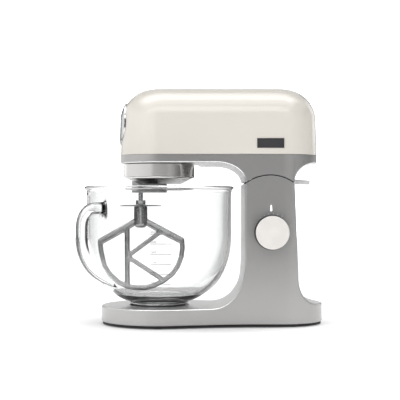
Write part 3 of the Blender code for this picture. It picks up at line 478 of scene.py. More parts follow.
# ---- materials
class Nodes:
    """A material's node tree, with short calls for the nodes used here."""

    def __init__(self, name):
        self.material = bpy.data.materials.new(name)
        self.material.use_nodes = True
        self.tree = self.material.node_tree
        self.shader = self.tree.nodes["Principled BSDF"]
        self.coords = self.new("ShaderNodeTexCoord").outputs["Object"]

    def new(self, kind, **settings):
        node = self.tree.nodes.new(kind)
        for key, value in settings.items():
            setattr(node, key, value)
        return node

    def link(self, source, target):
        self.tree.links.new(source, target)

    def fill(self, target, value):
        """Links a socket to the target, or sets the target to a plain value."""
        if isinstance(value, bpy.types.NodeSocket):
            self.link(value, target)
        else:
            target.default_value = value

    def mapped(self, scale=(1, 1, 1), location=(0, 0, 0)):
        node = self.new("ShaderNodeMapping")
        self.link(self.coords, node.inputs["Vector"])
        node.inputs["Scale"].default_value = scale
        node.inputs["Location"].default_value = location
        return node.outputs["Vector"]

    def split(self, vector):
        node = self.new("ShaderNodeSeparateXYZ")
        self.link(vector, node.inputs[0])
        return node.outputs

    def noise(self, scale, detail, vector=None, rough=0.55):
        node = self.new("ShaderNodeTexNoise")
        self.link(vector or self.coords, node.inputs["Vector"])
        node.inputs["Scale"].default_value = scale
        node.inputs["Detail"].default_value = detail
        node.inputs["Roughness"].default_value = rough
        return node.outputs["Fac"]

    def maths(self, operation, *values):
        node = self.new("ShaderNodeMath", operation=operation)
        for socket, value in zip(node.inputs, values):
            self.fill(socket, value)
        return node.outputs[0]

    def ramp(self, source, stops):
        """Colours or greys at places between 0 and 1."""
        node = self.new("ShaderNodeValToRGB")
        self.link(source, node.inputs["Fac"])
        elements = node.color_ramp.elements
        while len(elements) < len(stops):
            elements.new(0.5)
        for element, (place, value) in zip(elements, stops):
            element.position = place
            element.color = (*value, 1) if isinstance(value, tuple) else (value, value, value, 1)
        return node.outputs["Color"]

    def mix(self, share, first, grey):
        """From the first colour to a grey."""
        node = self.new("ShaderNodeMix", data_type="RGBA")
        for socket, value in (("Factor", share), ("A", first), ("B", (grey, grey, grey, 1))):
            self.fill([s for s in node.inputs if s.name == socket and s.enabled][0], value)
        return [s for s in node.outputs if s.enabled][0]

    def bump(self, height, strength, distance):
        node = self.new("ShaderNodeBump")
        node.inputs["Strength"].default_value = strength
        node.inputs["Distance"].default_value = distance
        self.link(height, node.inputs["Height"])
        self.link(node.outputs["Normal"], self.shader.inputs["Normal"])

    def set(self, **values):
        """Shader sockets by name, each to a value or a link."""
        for key, value in values.items():
            self.fill(self.shader.inputs[key.replace("_", " ")], value)

    def shades(self, source, colour, darker):
        """The colour and a darker shade of it, spread by the source."""
        return self.ramp(source, [(0.3, tuple(c * darker for c in colour)), (0.7, colour)])

    def gloss(self, source, low, high):
        self.set(Roughness=self.ramp(source, [(0.3, low), (0.7, high)]))


def enamel(name, colour):
    """Gloss enamel: slight orange peel, and a barely uneven colour."""
    m = Nodes(name)
    m.set(Base_Color=m.shades(m.noise(9, 3), colour, 0.985), Coat_Weight=0.6, Coat_Roughness=0.06, IOR=1.5)
    m.gloss(m.noise(160, 4), 0.20, 0.27)
    m.bump(m.noise(420, 2), 0.06, 0.05 * MM)
    return m.material


def flake_paint(name, colour):
    """Silver paint: fine metal flake under a satin coat, with a painted highlight: lighter and glossier on the
    roundings from a side to a top or belly.
    """
    m = Nodes(name)
    flake = m.new("ShaderNodeTexVoronoi")
    m.link(m.coords, flake.inputs["Vector"])
    flake.inputs["Scale"].default_value = 2600
    dark, light = tuple(c * 0.94 for c in colour), tuple(min(1, c * 1.06) for c in colour)
    normal = m.split(m.new("ShaderNodeTexCoord").outputs["Normal"])
    # painted highlight: where the normal leans between a side and a top or belly, above the skirt, the colour runs to
    # light grey
    lean = m.maths("ABSOLUTE", m.maths("MULTIPLY", normal["Y"], normal["Z"]))
    above_skirt = m.maths("GREATER_THAN", m.split(m.coords)["Z"], 12 * MM)
    edge = m.ramp(m.maths("MULTIPLY", lean, above_skirt), [(0.12, 0.0), (0.34, 1.0)])
    paint = m.ramp(flake.outputs["Distance"], [(0.1, light), (0.7, dark)])
    satin = m.ramp(m.noise(220, 5), [(0.3, 0.30), (0.7, 0.40)])
    m.set(Base_Color=m.mix(edge, paint, 0.97), Roughness=m.mix(edge, satin, 0.24))
    m.set(Metallic=0.75, Coat_Weight=0.25, Coat_Roughness=0.18)
    m.bump(m.noise(900, 2), 0.05, 0.03 * MM)
    return m.material


def machined(name, colour, rough, stretch=(1, 1, 1), scale=300, strength=0.08, metallic=1.0, spread=0.08):
    """A metal with fine tool marks, stretched along the way it was worked."""
    m = Nodes(name)
    marks = m.noise(scale, 6, m.mapped(scale=stretch), 0.65)
    m.set(Base_Color=m.shades(m.noise(30, 4), colour, 0.93), Metallic=metallic)
    m.gloss(marks, rough - spread / 2, rough + spread / 2)
    m.bump(marks, strength, 0.03 * MM)
    return m.material


def ring_brushed(name, colour, rough):
    """A metal brushed in circles round the bowl's axis."""
    m = Nodes(name)
    parts = m.split(m.mapped(location=(-AXIS_X, 0, 0)))
    reach = m.maths("SQRT", m.maths("ADD", *[m.maths("MULTIPLY", parts[n], parts[n]) for n in "XY"]))
    pair = m.new("ShaderNodeCombineXYZ")
    m.link(reach, pair.inputs["X"])
    m.link(parts["Z"], pair.inputs["Y"])
    marks = m.noise(3000, 3, pair.outputs["Vector"], 0.7)
    m.set(Base_Color=m.shades(m.noise(25, 3), colour, 0.95), Metallic=1.0, Anisotropic=0.4)
    m.gloss(marks, rough - 0.05, rough + 0.05)
    m.bump(marks, 0.12, 0.02 * MM)
    return m.material


def moulded(name, colour, rough, grain=700, strength=0.12, metallic=0.0, coat=0.0):
    """Moulded plastic or rubber, with its fine grain."""
    m = Nodes(name)
    grains = m.noise(grain, 4)
    m.set(Base_Color=m.shades(m.noise(40, 3), colour, 0.88), Metallic=metallic, Coat_Weight=coat)
    m.gloss(grains, max(0.02, rough - 0.06), rough + 0.06)
    m.bump(grains, strength, 0.05 * MM)
    return m.material


def glass(name):
    """Clear pressed glass, with the faint unevenness of its skin."""
    m = Nodes(name)
    m.set(Base_Color=m.ramp(m.noise(14, 2), [(0.3, (0.985, 0.995, 0.995)), (0.7, (1.0, 1.0, 1.0))]))
    m.set(Roughness=m.ramp(m.noise(60, 3), [(0.35, 0.0), (0.75, 0.006)]))
    m.set(Transmission_Weight=1.0, IOR=1.5, Metallic=0.0)
    m.bump(m.noise(26, 1), 0.012, 0.15 * MM)
    return m.material


def glowing(name, colour, strength):
    m = Nodes(name)
    tones = m.shades(m.noise(300, 2), colour, 0.96)
    m.set(Base_Color=tones, Emission_Color=tones, Emission_Strength=strength)
    m.gloss(m.noise(200, 2), 0.18, 0.26)
    return m.material


CREAM = enamel("cream_enamel", (0.675, 0.642, 0.585))
SILVER = flake_paint("silver_paint", (0.465, 0.46, 0.455))
CHROME = machined("chrome", (0.80, 0.80, 0.81), 0.07, scale=90, strength=0.01, spread=0.04)
HUB_METAL = ring_brushed("hub_metal", (0.81, 0.797, 0.783), 0.15)
LEVER_METAL = machined("satin_lever", (0.90, 0.90, 0.90), 0.34, scale=120, strength=0.02, metallic=0.4)
OUTLET_METAL = machined("outlet_metal", (0.66, 0.66, 0.67), 0.20, scale=90, strength=0.005)
# near-black skirt of the dial: painted shade, standing in for the shadow crescent round the dial's face
SHADE_SKIRT = moulded("shade_dark_skirt", (0.016, 0.016, 0.017), 0.5, 1100, 0.05)
HUB_UNDER = ring_brushed("hub_under", (0.40, 0.395, 0.39), 0.24)
STEEL = machined("steel", (0.56, 0.56, 0.57), 0.26, stretch=(1, 1, 6))
DARK_STEEL = machined("dark_steel", (0.20, 0.20, 0.205), 0.3, strength=0.06)
BLOCK = machined("cast_block", (0.42, 0.42, 0.43), 0.32, strength=0.15)
ALUMINIUM = machined("burnished_aluminium", (0.43, 0.43, 0.43), 0.24, scale=160, strength=0.10)
GLASS = glass("clear_glass")
RUBBER = moulded("rubber", (0.028, 0.028, 0.03), 0.72, 900, 0.25)
BLACK = moulded("black_plastic", (0.035, 0.035, 0.038), 0.45)
# a darker copy of the black plastic: the real black cover plus painted shade for the shadowed gap under the base
SHADOW_BLACK_TRAY = moulded("shadow_black_tray", (0.010, 0.010, 0.011), 0.6)
BRONZE = machined("sintered_bronze", (0.55, 0.38, 0.19), 0.38, strength=0.25)
COPPER = machined("copper", (0.70, 0.35, 0.20), 0.30, stretch=(1, 1, 14), strength=0.3)
BOARD = moulded("circuit_board", (0.03, 0.20, 0.08), 0.35)
PEARL = moulded("pearl_white", (0.82, 0.79, 0.76), 0.26, 1500, 0.03, metallic=0.05, coat=0.5)
PRINT = moulded("grey_print", (0.16, 0.16, 0.16), 0.6, 1200, 0.02)
WHITE_PRINT = moulded("white_print", (0.86, 0.86, 0.85), 0.5, 1200, 0.02)
LENS = glowing("indicator_white", (1.0, 1.0, 1.0), 0.9)


# ---- placing
def settle(obj, finish, body, slot, *nodes):
    """Moves a shape made around the bowl's axis into the row frame, dresses it, and hangs it on its body."""
    obj.data.transform(Matrix.Translation((AXIS_X, 0, 0)))
    obj.data.materials.clear()
    obj.data.materials.append(finish)
    show(obj)
    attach(obj, body)
    if nodes:
        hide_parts(*nodes)
    return obj


# ---- stand
def stand():
    profile = stand_profile()
    body = met("stand_casting", stand_plan(), 0.0, 0.25, profile, 0.12)
    path = [(PILLAR_FRONT_X, z, 1.0) for z in (208 * MM, 150 * MM, 101 * MM)]
    path += [(x, z, min(1.0, max(0.0, (z - 34 * MM) / (50 * MM)))) for x, z in front_fillet()]
    body = crown_front(body, path, -CROWN)
    body = round_edges(body, 1.9 * MM, FINE_EDGE, on_parting)
    inner = [(x, -0.01 if z < SKIRT_Z + 2 * WALL else z) for x, z in inset(profile, WALL)]
    body = cut(body, met("hollow", stand_plan(WALL, 20, 40, 8), -0.02, 0.25, inner, 0.11))
    seat_r = span("bowl_seat", 1) / 2
    well_r, well_top = seat_r + 3 * MM, DECK_Z - 1 * MM
    body = join(body, turned("well", [(0, well_top), (well_r, well_top), (well_r, 17 * MM), (0, 17 * MM)]))
    body = cut(body, rod((0, 0, 20 * MM), (0, 0, 40 * MM), seat_r + GAP, 96))
    sector = arc((HINGE_X, HINGE_Z), 72 * MM, *TILT_SLOT, 10)
    sector += arc((HINGE_X, HINGE_Z), 40 * MM, *TILT_SLOT[::-1], 10)
    body = cut(body, extruded("tilt_slot", [sector], -24 * MM, 24 * MM, upright=True))
    gland_z = middle("cord_gland").z
    body = cut(body, rod((230 * MM, 0, gland_z), (260 * MM, 0, gland_z), 6.8 * MM))
    dial_well = rod((DIAL_X, -70 * MM, DIAL_Z), (DIAL_X, SIDE_Y + 1.2 * MM, DIAL_Z), DIAL_R + 0.5 * MM, 96)
    settle(weighted(cut(body, dial_well)), SILVER, "stand", "silver_paint", "base_stand")
    parting_shade_outline = arc((HINGE_X, HINGE_Z), DOME_R + PARTING - GAP, *TILT_SLOT, 48)
    parting_shade_outline += arc((HINGE_X, HINGE_Z), DOME_R - 0.5 * MM, *TILT_SLOT[::-1], 48)
    for side, name in ((-1, "near"), (1, "far")):  # black strips in the parting, beside the hinge arm's slot: painted shade, a dark sheet standing in for the shadow in the gap
        low_y, high_y = sorted((side * 25 * MM, side * (HALF_WIDTH - 3 * MM)))
        strip = extruded(f"parting_shade_strip_{name}", [parting_shade_outline], low_y, high_y, upright=True)
        settle(strip, BLACK, "stand", "silver_paint")


def underside():
    """Bottom cover, hollowed and holed for the feet, screws with crossed slots, ribbed feet and the cord's gland."""
    low_z, high_z = heights("base_cover")
    tray = extruded("bottom_cover", [stand_plan(1.5 * MM)], low_z, SKIRT_Z - GAP)
    tray = join(tray, extruded("plate", [stand_plan(WALL + 0.5 * MM)], 3 * MM, high_z))
    tray = cut(tray, extruded("hollow", [stand_plan(6.5 * MM)], -10 * MM, 4.8 * MM))
    for node in FEET:
        at = middle(node) - Vector((AXIS_X, 0, 0))
        tray = cut(tray, rod((at.x, at.y, 0), (at.x, at.y, 4.8 * MM), 9.6 * MM))
    # the bottom cover takes the darker black, painted shade in the gap under the base
    settle(tray, SHADOW_BLACK_TRAY, "stand", "black_plastic", "base_cover")
    for i in range(1, 5):
        node = f"base_screw_{i}"
        at, (low_z, high_z) = middle(node), heights(node)
        x = at.x - AXIS_X
        head = [(0, high_z), (1.5 * MM, high_z - 1 * MM), (1.5 * MM, 4.5 * MM), (3.8 * MM, 4.5 * MM)]
        head = softened(head, 0.2 * MM) + mm([(3.7, 3.4), (2.9, 2.75)]) + [(0, low_z)]
        screw = turned(f"screw_{i}", head, (x, at.y), 32)
        for turn in (pi / 4, -pi / 4):
            slot = box("slot", (-2.1 * MM, -0.45 * MM, 0), (2.1 * MM, 0.45 * MM, low_z + 1.2 * MM))
            slot.data.transform(Matrix.Translation((x, at.y, 0)) @ Matrix.Rotation(turn, 4, "Z"))
            screw = cut(screw, slot)
        settle(screw, STEEL, "stand", "steel", node)
    for node in FEET:
        at, radius = middle(node), span(node, 0) / 2
        profile = [(0, 4.5 * MM), (radius - 0.2 * MM, 4.5 * MM), (radius, 3.9 * MM), (radius - 0.5 * MM, 0.9 * MM)]
        profile += [(radius - 1.1 * MM, 0.0)]
        for r in (6.6, 4.6, 2.6):  # tread rings
            profile += mm([(r, 0.0), (r - 0.2, 0.5), (r - 0.7, 0.5), (r - 0.9, 0.0)])
        profile += [(0, 0)]
        settle(turned(f"pad_{node}", profile, (at.x - AXIS_X, at.y), 48), RUBBER, "stand", "rubber", node)
    face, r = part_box("cord_gland")[1].x - AXIS_X, span("cord_gland", 1) / 2
    hole_r, neck_r, inner_face, flange = 4 * MM, 6.4 * MM, 235.6 * MM, 237.2 * MM
    profile = [(neck_r, face), (neck_r, flange), (r, flange), (r, inner_face), (hole_r, inner_face), (hole_r, face)]
    gland = hoop("gland", profile, 0.4 * MM, 3, 48)
    gland.data.transform(Matrix.Translation((0, 0, middle("cord_gland").z)) @ Matrix.Rotation(pi / 2, 4, "Y"))
    settle(gland, RUBBER, "stand", "rubber", "cord_gland")


def seat():
    r = span("bowl_seat", 1) / 2
    low_z, high_z = heights("bowl_seat")
    wall, hole, floor_z = r - 1.7 * MM, 20 * MM, 22.2 * MM
    profile = [(r, high_z), (r, low_z), (hole, low_z), (hole, floor_z), (wall, floor_z), (wall, high_z)]
    cup = hoop("seat_cup", profile, 0.4 * MM, 2)
    for i in range(3):
        at, half = 2 * pi * i / 3, radians(15)
        lip = arc((0, 0), r - 0.9 * MM, at - half, at + half, 12) + arc((0, 0), 39.6 * MM, at + half, at - half, 12)
        cup = join(cup, extruded("lip", [lip], 26.2 * MM, high_z - 0.2 * MM))
    settle(cup, BLACK, "stand", "black_plastic", "bowl_seat")


def dial():
    """Pearl face in a skirt coloured near black as painted shade round the face, the ticks round it and the lit
    pointer above.
    """
    depth = -DIAL_FACE_Y + SIDE_Y
    turn = Matrix.Translation((DIAL_X, SIDE_Y, DIAL_Z)) @ Matrix.Rotation(pi / 2, 4, "X")
    face_r = DIAL_R - 1.1 * MM
    back = depth - 2.6 * MM  # of the face, and the front of the boss that takes the shaft
    foot = 0.9 * MM
    profile = [(face_r, depth - 2.2 * MM), (DIAL_R, foot), (face_r - 2.5 * MM, foot), (face_r - 2.5 * MM, 12 * MM)]
    profile += mm([(6.2, 12), (6.2, 4), (3.3, 4)]) + [(3.3 * MM, back)]
    profile += [(face_r - 1.2 * MM, back), (face_r - 0.8 * MM, depth - 2.0 * MM)]
    skirt = hoop("dial_skirt", profile, 0.3 * MM, 3)
    skirt.data.transform(turn)
    # the skirt's near black is painted shade round the dial
    settle(skirt, SHADE_SKIRT, "dial", "pearl_white", "speed_dial")
    rim = face_r - 0.1 * MM
    face = [(0, depth - 0.25 * MM), (rim * 0.6, depth - 0.2 * MM), (rim - 1.6 * MM, depth - 0.05 * MM)]
    face += arc((rim - 0.8 * MM, depth - 0.85 * MM), 0.8 * MM, pi / 2, 0, 6)
    face += [(rim, depth - 1.9 * MM), (rim - 0.9 * MM, depth - 2.4 * MM), (0, depth - 2.4 * MM)]
    cap = turned("dial_face", face)
    cap.data.transform(turn)
    settle(cap, PEARL, "dial", "pearl_white")
    start, half, proud = DIAL_R + 1.1 * MM, 0.4 * MM, 0.06 * MM
    for i, degrees in enumerate((-38, -24, -10, 4, 18, 32)):  # each tick a little longer than the last
        length = (1.0 + 0.34 * i) * MM
        tick = box(f"dial_tick_{i + 1}", (start, -half, 0), (start + length, half, proud))
        tick.data.transform(turn @ Matrix.Rotation(radians(90 - degrees), 4, "Z"))
        settle(tick, WHITE_PRINT, "stand", "silver_paint")
    low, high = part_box("indicator_lens")
    x, half = (low.x + high.x) / 2 - AXIS_X, 0.36 * (high.x - low.x)
    drop = arc((x, low.z + half), half, pi, 2 * pi, 16)
    drop += [(x + 0.8 * half, low.z + 3.4 * half), (x + 0.4 * half, high.z - 0.5 * MM), (x, high.z)]
    drop += [(x - 0.4 * half, high.z - 0.5 * MM), (x - 0.8 * half, low.z + 3.4 * half)]
    lens = extruded("pointer_lens", [drop], low.y, high.y - 2 * MM, upright=True, bevel=0.2 * MM)
    settle(lens, LENS, "stand", "lens_white", "indicator_lens")


# ---- head
def head_casting():
    profile = neck_profile()
    raised = [(x, z + 0.01 if z > SEAM_Z - WELD else z) for x, z in profile]
    body = met("head_casting", head_plan(), 0.18, SEAM_Z, raised, 0.08)
    belly_start, belly_end = 62 * MM, 54 * MM  # over which the neck's swelling runs out
    path = [(x, z, 1.0) for x, z in neck_front()] + [(belly_start, BELLY_Z, 1.0), (belly_end, BELLY_Z, 0.0)]
    body = crown_front(body, path, CROWN, across=[belly_end, belly_start])
    body = round_edges(body, 2.2 * MM, FINE_EDGE, lambda p: on_parting(p) or p.z > SEAM_Z - 0.1 * MM)
    inner = [(x, 0.29 if z > SEAM_Z - 1.5 * WALL else z) for x, z in inset(profile, WALL)]
    body = cut(body, met("hollow", head_plan(WALL, 20), 0.18, 0.28, inner, 0.08))
    body = cut(body, rod((0, 0, 0.23), (0, 0, 0.25), 20 * MM))
    lever_slot = mm([(186.5, -14.5, 207.5), (215, 14.5, 225.5)])
    body = cut(body, box("lever_slot", *lever_slot, 1.5 * MM))
    settle(weighted(body), SILVER, "head", "silver_paint", "head_frame")


def cover_levels(margin, low, rows):
    centre_z = HEAD_TOP_Z - CROWN_R
    radius = CROWN_R - margin
    levels = [(margin, low), (margin, low + 8 * MM), (margin, centre_z - 12 * MM), (margin, centre_z)]
    for i in range(1, rows + 1):
        t = pi / 2 * i / rows
        levels.append((CROWN_R - radius * cos(t), centre_z + radius * sin(t)))
    return levels


def cover_surface(name, margin=0.0, low=SEAM_Z + 0.4 * MM, closed=False):
    """The cover's skin: stadium rings up to a ridge, open underneath unless closed."""
    bm = bmesh.new()
    rings = []
    rise = HEAD_TOP_Z - CROWN_R - SEAM_Z
    for inwards, z in cover_levels(margin, low, 22):
        lean = COVER_DRAFT * min(1.0, (z - SEAM_Z) / rise)
        rings.append([bm.verts.new((x, y, z)) for x, y in head_plan(inwards, 40, lean)])
    count = len(rings[0])
    for lower, upper in zip(rings, rings[1:]):
        for i in range(count):
            k = (i + 1) % count
            bm.faces.new((lower[i], lower[k], upper[k], upper[i]))
    top = rings[-1]
    for i in range(count // 2 - 1):  # quads across the ridge
        bm.faces.new((top[i], top[i + 1], top[count - 2 - i], top[count - 1 - i]))
    if closed:
        bm.faces.new(rings[0][::-1])
    return solid(name, bm, 60)


def head_shell():
    shell = cover_surface("cover_shell")
    skin = shell.modifiers.new("wall", "SOLIDIFY")
    skin.thickness = COVER_WALL
    skin.offset = -1
    skin.use_even_offset = True
    shell = frozen(shell, "cover_shell", 50)
    shell = cut(shell, rod((-80 * MM, 0, OUTLET_Z), (-30 * MM, 0, OUTLET_Z), 19.2 * MM, 64), 50)
    settle(shell, CREAM, "head", "cream_enamel", "head_cover")


def outlet():
    plate = cover_surface("outlet_plate", -2.3 * MM, closed=True)
    plate = cut(plate, cover_surface("inner", -GAP, low=0.24, closed=True))
    edge = rod((-80 * MM, 0, OUTLET_Z), (-20 * MM, 0, OUTLET_Z), OUTLET_R - 0.2 * MM, 128)
    plate = boolean(plate, edge, "INTERSECT")
    bm = opened(plate)
    rim = sharp_edges(bm, 50)
    bmesh.ops.bevel(bm, geom=rim, offset=0.7 * MM, segments=3, profile=0.5, affect="EDGES", clamp_overlap=True)
    bpy.data.objects.remove(plate)
    plate = join(solid("outlet_plate", bm), rod((-57 * MM, 0, OUTLET_Z), (-46 * MM, 0, OUTLET_Z), 15.2 * MM, 64))
    settle(weighted(plate), OUTLET_METAL, "outlet_plate", "chrome", "outlet_cover")
    profile = [(16, 50.5), (18.8, 50.5), (18.8, 45), (23.5, 45), (23.5, 43), (18.8, 43), (18.8, 27.5), (16, 27.5)]
    socket = hoop("outlet_bush", mm(profile), 0.5 * MM, 2, 64)
    socket.data.transform(Matrix.Translation((0, 0, OUTLET_Z)) @ Matrix.Rotation(-pi / 2, 4, "Y"))
    settle(socket, STEEL, "head", "steel", "outlet_socket")


def badge():
    """A blank plaque: a satin plate with a raised border."""
    low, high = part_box("badge_plate")
    low, high = low - Vector((AXIS_X, 0, 0)), high - Vector((AXIS_X, 0, 0))
    edge, deep = 1.1 * MM, 0.3 * MM
    recess = box("recess", (low.x + edge, low.y - 1 * MM, low.z + edge), (high.x - edge, low.y + deep, high.z - edge))
    settle(cut(box("plaque", low, high, 0.35 * MM), recess), BLACK, "head", "black_plastic", "badge_plate")


def lever():
    half = span("release_lever", 1) / 2
    side = [(179.5, 224.6), (186.5, 220.3), (196.0, 211.2), (201.2, 208.2), (224.5, 207.0), (224.5, 213.6)]
    side += [(203.0, 215.2), (190.5, 225.5), (186.5, 231.0)]
    side = softened(mm(side), 0.8 * MM, 4, ring=True)
    blade = extruded("lever_blade", [side], -half, half, upright=True, bevel=0.5 * MM)
    blade = join(blade, rod((LEVER_X, -half, LEVER_Z), (LEVER_X, half, LEVER_Z), 5 * MM))
    blade = cut(blade, rod((LEVER_X, -20 * MM, LEVER_Z), (LEVER_X, 20 * MM, LEVER_Z), 2.3 * MM))
    settle(blade, LEVER_METAL, "lever", "chrome", "release_lever")


def hub():
    """Drum under the head, and the turning hub in it with the block that takes the tool."""
    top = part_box("hub_housing")[1].z
    rim = mm([(0, 2.6), (0, 2.2), (-0.5, 1.4), (-1.5, 0.2), (-2.4, 0), (-3.2, 0.4)])
    drum = [(HUB_R, top)] + [(HUB_R + r, HUB_BOTTOM_Z + z) for r, z in rim]
    drum += [(HUB_R - 3.2 * MM, top - 3 * MM), (16.8 * MM, top - 3 * MM), (16.8 * MM, top)]
    settle(turned("hub_drum", drum, ring=True, segments=128), HUB_METAL, "head", "chrome", "hub_housing")
    cone = softened(mm([(0, 219.5), (48.8, 219.5), (48.8, 216.5), (33.5, 208.3), (0, 208.3)]), 1.2 * MM, 4)
    cone = turned("hub_cone", cone, segments=128)
    pocket = arc((TOOL_X, 0), 17.8 * MM, pi / 2, 3 * pi / 2, 32)
    pocket += arc((-10 * MM, 0), 17.8 * MM, -pi / 2, pi / 2, 32)
    cone = cut(cone, extruded("pocket", [pocket], 200 * MM, 215.5 * MM))
    cone = cut(cone, rod((TOOL_X, 0, 0.19), (TOOL_X, 0, 0.225), 7.8 * MM))
    settle(cone, HUB_UNDER, "planet", "aluminium", "planet_hub")
    block = arc((TOOL_X, 0), 13.4 * MM, pi / 2, 3 * pi / 2, 32) + arc((0, 0), 11.4 * MM, -pi / 2, pi / 2, 32)
    tower = extruded("tool_tower", [block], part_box("planet_hub")[0].z, 215.9 * MM, bevel=0.9 * MM)
    tower = cut(tower, rod((TOOL_X, 0, 0.19), (TOOL_X, 0, 0.225), 7.8 * MM))
    settle(tower, BLOCK, "planet", "aluminium")
    spindle = mm([(0, 232.5), (5, 232.5), (5, 220.5), (7.4, 220.5), (7.4, 194.0)])
    spindle += [(TOOL_BORE_R, 194 * MM), (TOOL_BORE_R, 212.5 * MM), (0, 212.5 * MM)]
    socket = turned("tool_socket", softened(spindle, 0.5 * MM, 2), (TOOL_X, 0), 64)
    settle(socket, STEEL, "tool", "steel", "tool_spindle")


# ---- bowl
def bowl_outside(count=30):
    """The wall from its upright part down, and then the shallower slope under the thick floor to the foot."""
    wall = [p for p in quarter((43.2 * MM, 133 * MM), 65 * MM, -94.5 * MM, 2.08, count) if p[0] > 72 * MM]
    slope = [(72.0, 47.3), (65.5, 43.4), (60.0, 39.9), (53.5, 36.7), (46.5, 34.1), (43.7, 32.4)]
    return wall + smooth_route(mm(slope), 4)


def glass_bowl():
    bead_r = 2.7 * MM
    bead = (RIM_R - bead_r, RIM_Z - bead_r)
    inside = [(0, 41.8 * MM)] + quarter((36 * MM, 133 * MM), 67.8 * MM, -91.2 * MM, 2.05, 30)[::-1]
    inside += mm([(103.9, 165), (104.1, 190), (104.8, 197)])
    lip = arc(bead, bead_r, radians(165), radians(-55), 16)
    outside = mm([(108.9, 198.5), (108.4, 194), (108.3, 170), (108.2, 150)])
    foot = arc((41.7 * MM, FOOT_Z + 2 * MM), 2 * MM, 0, -pi / 2, 5)
    foot += [(36.8 * MM, FOOT_Z), (35.6 * MM, FOOT_Z + 1.2 * MM)] + mm([(34.6, 36), (33, 36.8), (0, 37.2)])
    bowl = turned("bowl", inside + lip + outside + bowl_outside() + foot, segments=160, sharp=80)
    spout, half_turn, depth = HANDLE_AZIMUTH - pi, radians(13), 20 * MM
    for vertex in bowl.data.vertices:  # the wall's top is drawn out into the spout
        x, y, z = vertex.co
        turn = (atan2(y, x) - spout + pi) % (2 * pi) - pi
        share = max(0.0, 1 - abs(turn) / half_turn) * max(0.0, 1 - (RIM_Z - z) / depth)
        if hypot(x, y) > 90 * MM and share > 0:
            push = SPOUT_OUT * sin(share * pi / 2) ** 2 / hypot(x, y)
            vertex.co = (x * (1 + push), y * (1 + push), z)
    bowl = join(bowl, handle(), 80)
    settle(bowl, GLASS, "bowl", "glass", "glass_bowl").visible_shadow = False


def handle():
    route = [(106.2, 172.4, 9.8), (109.5, 172.4, 9.2), (114.0, 172.4, 8.7), (120.0, 172.3, 8.5), (132.0, 170.6, 8.5)]
    route += [(141.0, 163.0, 8.5), (145.6, 152.0, 8.5), (146.3, 138.0, 8.5), (146.0, 124.0, 8.5), (143.0, 110.0, 8.4)]
    route += [(136.6, 97.0, 8.2), (126.0, 84.8, 7.8), (113.0, 75.5, 7.0), (98.5, 67.2, 5.2), (84.0, 59.6, 2.0)]
    heading = Vector((cos(HANDLE_AZIMUTH), sin(HANDLE_AZIMUTH)))
    fine = smooth_route(route, 5)
    points = [(heading.x * r * MM, heading.y * r * MM, z * MM) for r, z, _ in fine]
    return tube("handle", points, [radius * MM for _, _, radius in fine], 8, 80)


def measure_marks():
    """Printed lines on the bowl's outside, towards the user, each with its volume in millilitres."""
    heights_of = {"3000": 136, "2500": 122.5, "2000": 108, "1500": 93.5, "1000": 79, "500": 65}
    left, right, steps = -9 * MM, 21 * MM, 16
    outline = bowl_outside(60)

    def radius_at(z):
        if z > 133 * MM:
            return 108.2 * MM
        for (r0, z0), (r1, z1) in zip(outline, outline[1:]):
            if z1 <= z <= z0:
                return r0 + (r1 - r0) * (z - z0) / (z1 - z0)
        return outline[-1][0]

    def on_wall(x, z):
        radius = radius_at(z) + 0.12 * MM
        angle = x / radius - pi / 2
        return radius * cos(angle), radius * sin(angle), z

    bm = bmesh.new()
    for level in heights_of.values():
        pairs = []
        for i in range(steps + 1):
            x = left + (right - left) * i / steps
            pairs.append([bm.verts.new(on_wall(x, level * MM + dz)) for dz in (0.35 * MM, -0.35 * MM)])
        for (upper, lower), (next_upper, next_lower) in zip(pairs, pairs[1:]):
            bm.faces.new((upper, next_upper, next_lower, lower))
    settle(solid("measure_lines", bm), PRINT, "bowl", "glass")
    for volume, level in heights_of.items():
        letters = bpy.data.curves.new("figures", "FONT")
        letters.body = volume
        letters.size = 4.6 * MM
        letters.resolution_u = 3
        mesh = evaluated(bpy.data.objects.new("figures", letters))
        for vertex in mesh.vertices:
            vertex.co = on_wall(vertex.co.x + left, level * MM + 1.4 * MM + vertex.co.y)
        settle(bpy.data.objects.new(f"volume_{volume}", mesh), PRINT, "bowl", "glass")


def collar():
    """The black collar under the bowl, with its bayonet lugs."""
    r = 38.8 * MM
    low_z, high_z = heights("lock_ring")
    ring = hoop("bowl_collar", [(r, high_z), (r, low_z), (33 * MM, low_z), (33 * MM, high_z)], 0.5 * MM, 2)
    for i in range(3):
        at, half = 2 * pi * i / 3, radians(15) - 0.02
        lug = arc((0, 0), 42.4 * MM, at - half, at + half, 12) + arc((0, 0), r - 1 * MM, at + half, at - half, 12)
        ring = join(ring, extruded("lug", [lug], 22.9 * MM, 25.6 * MM))
    settle(ring, BLACK, "bowl", "black_plastic", "lock_ring")


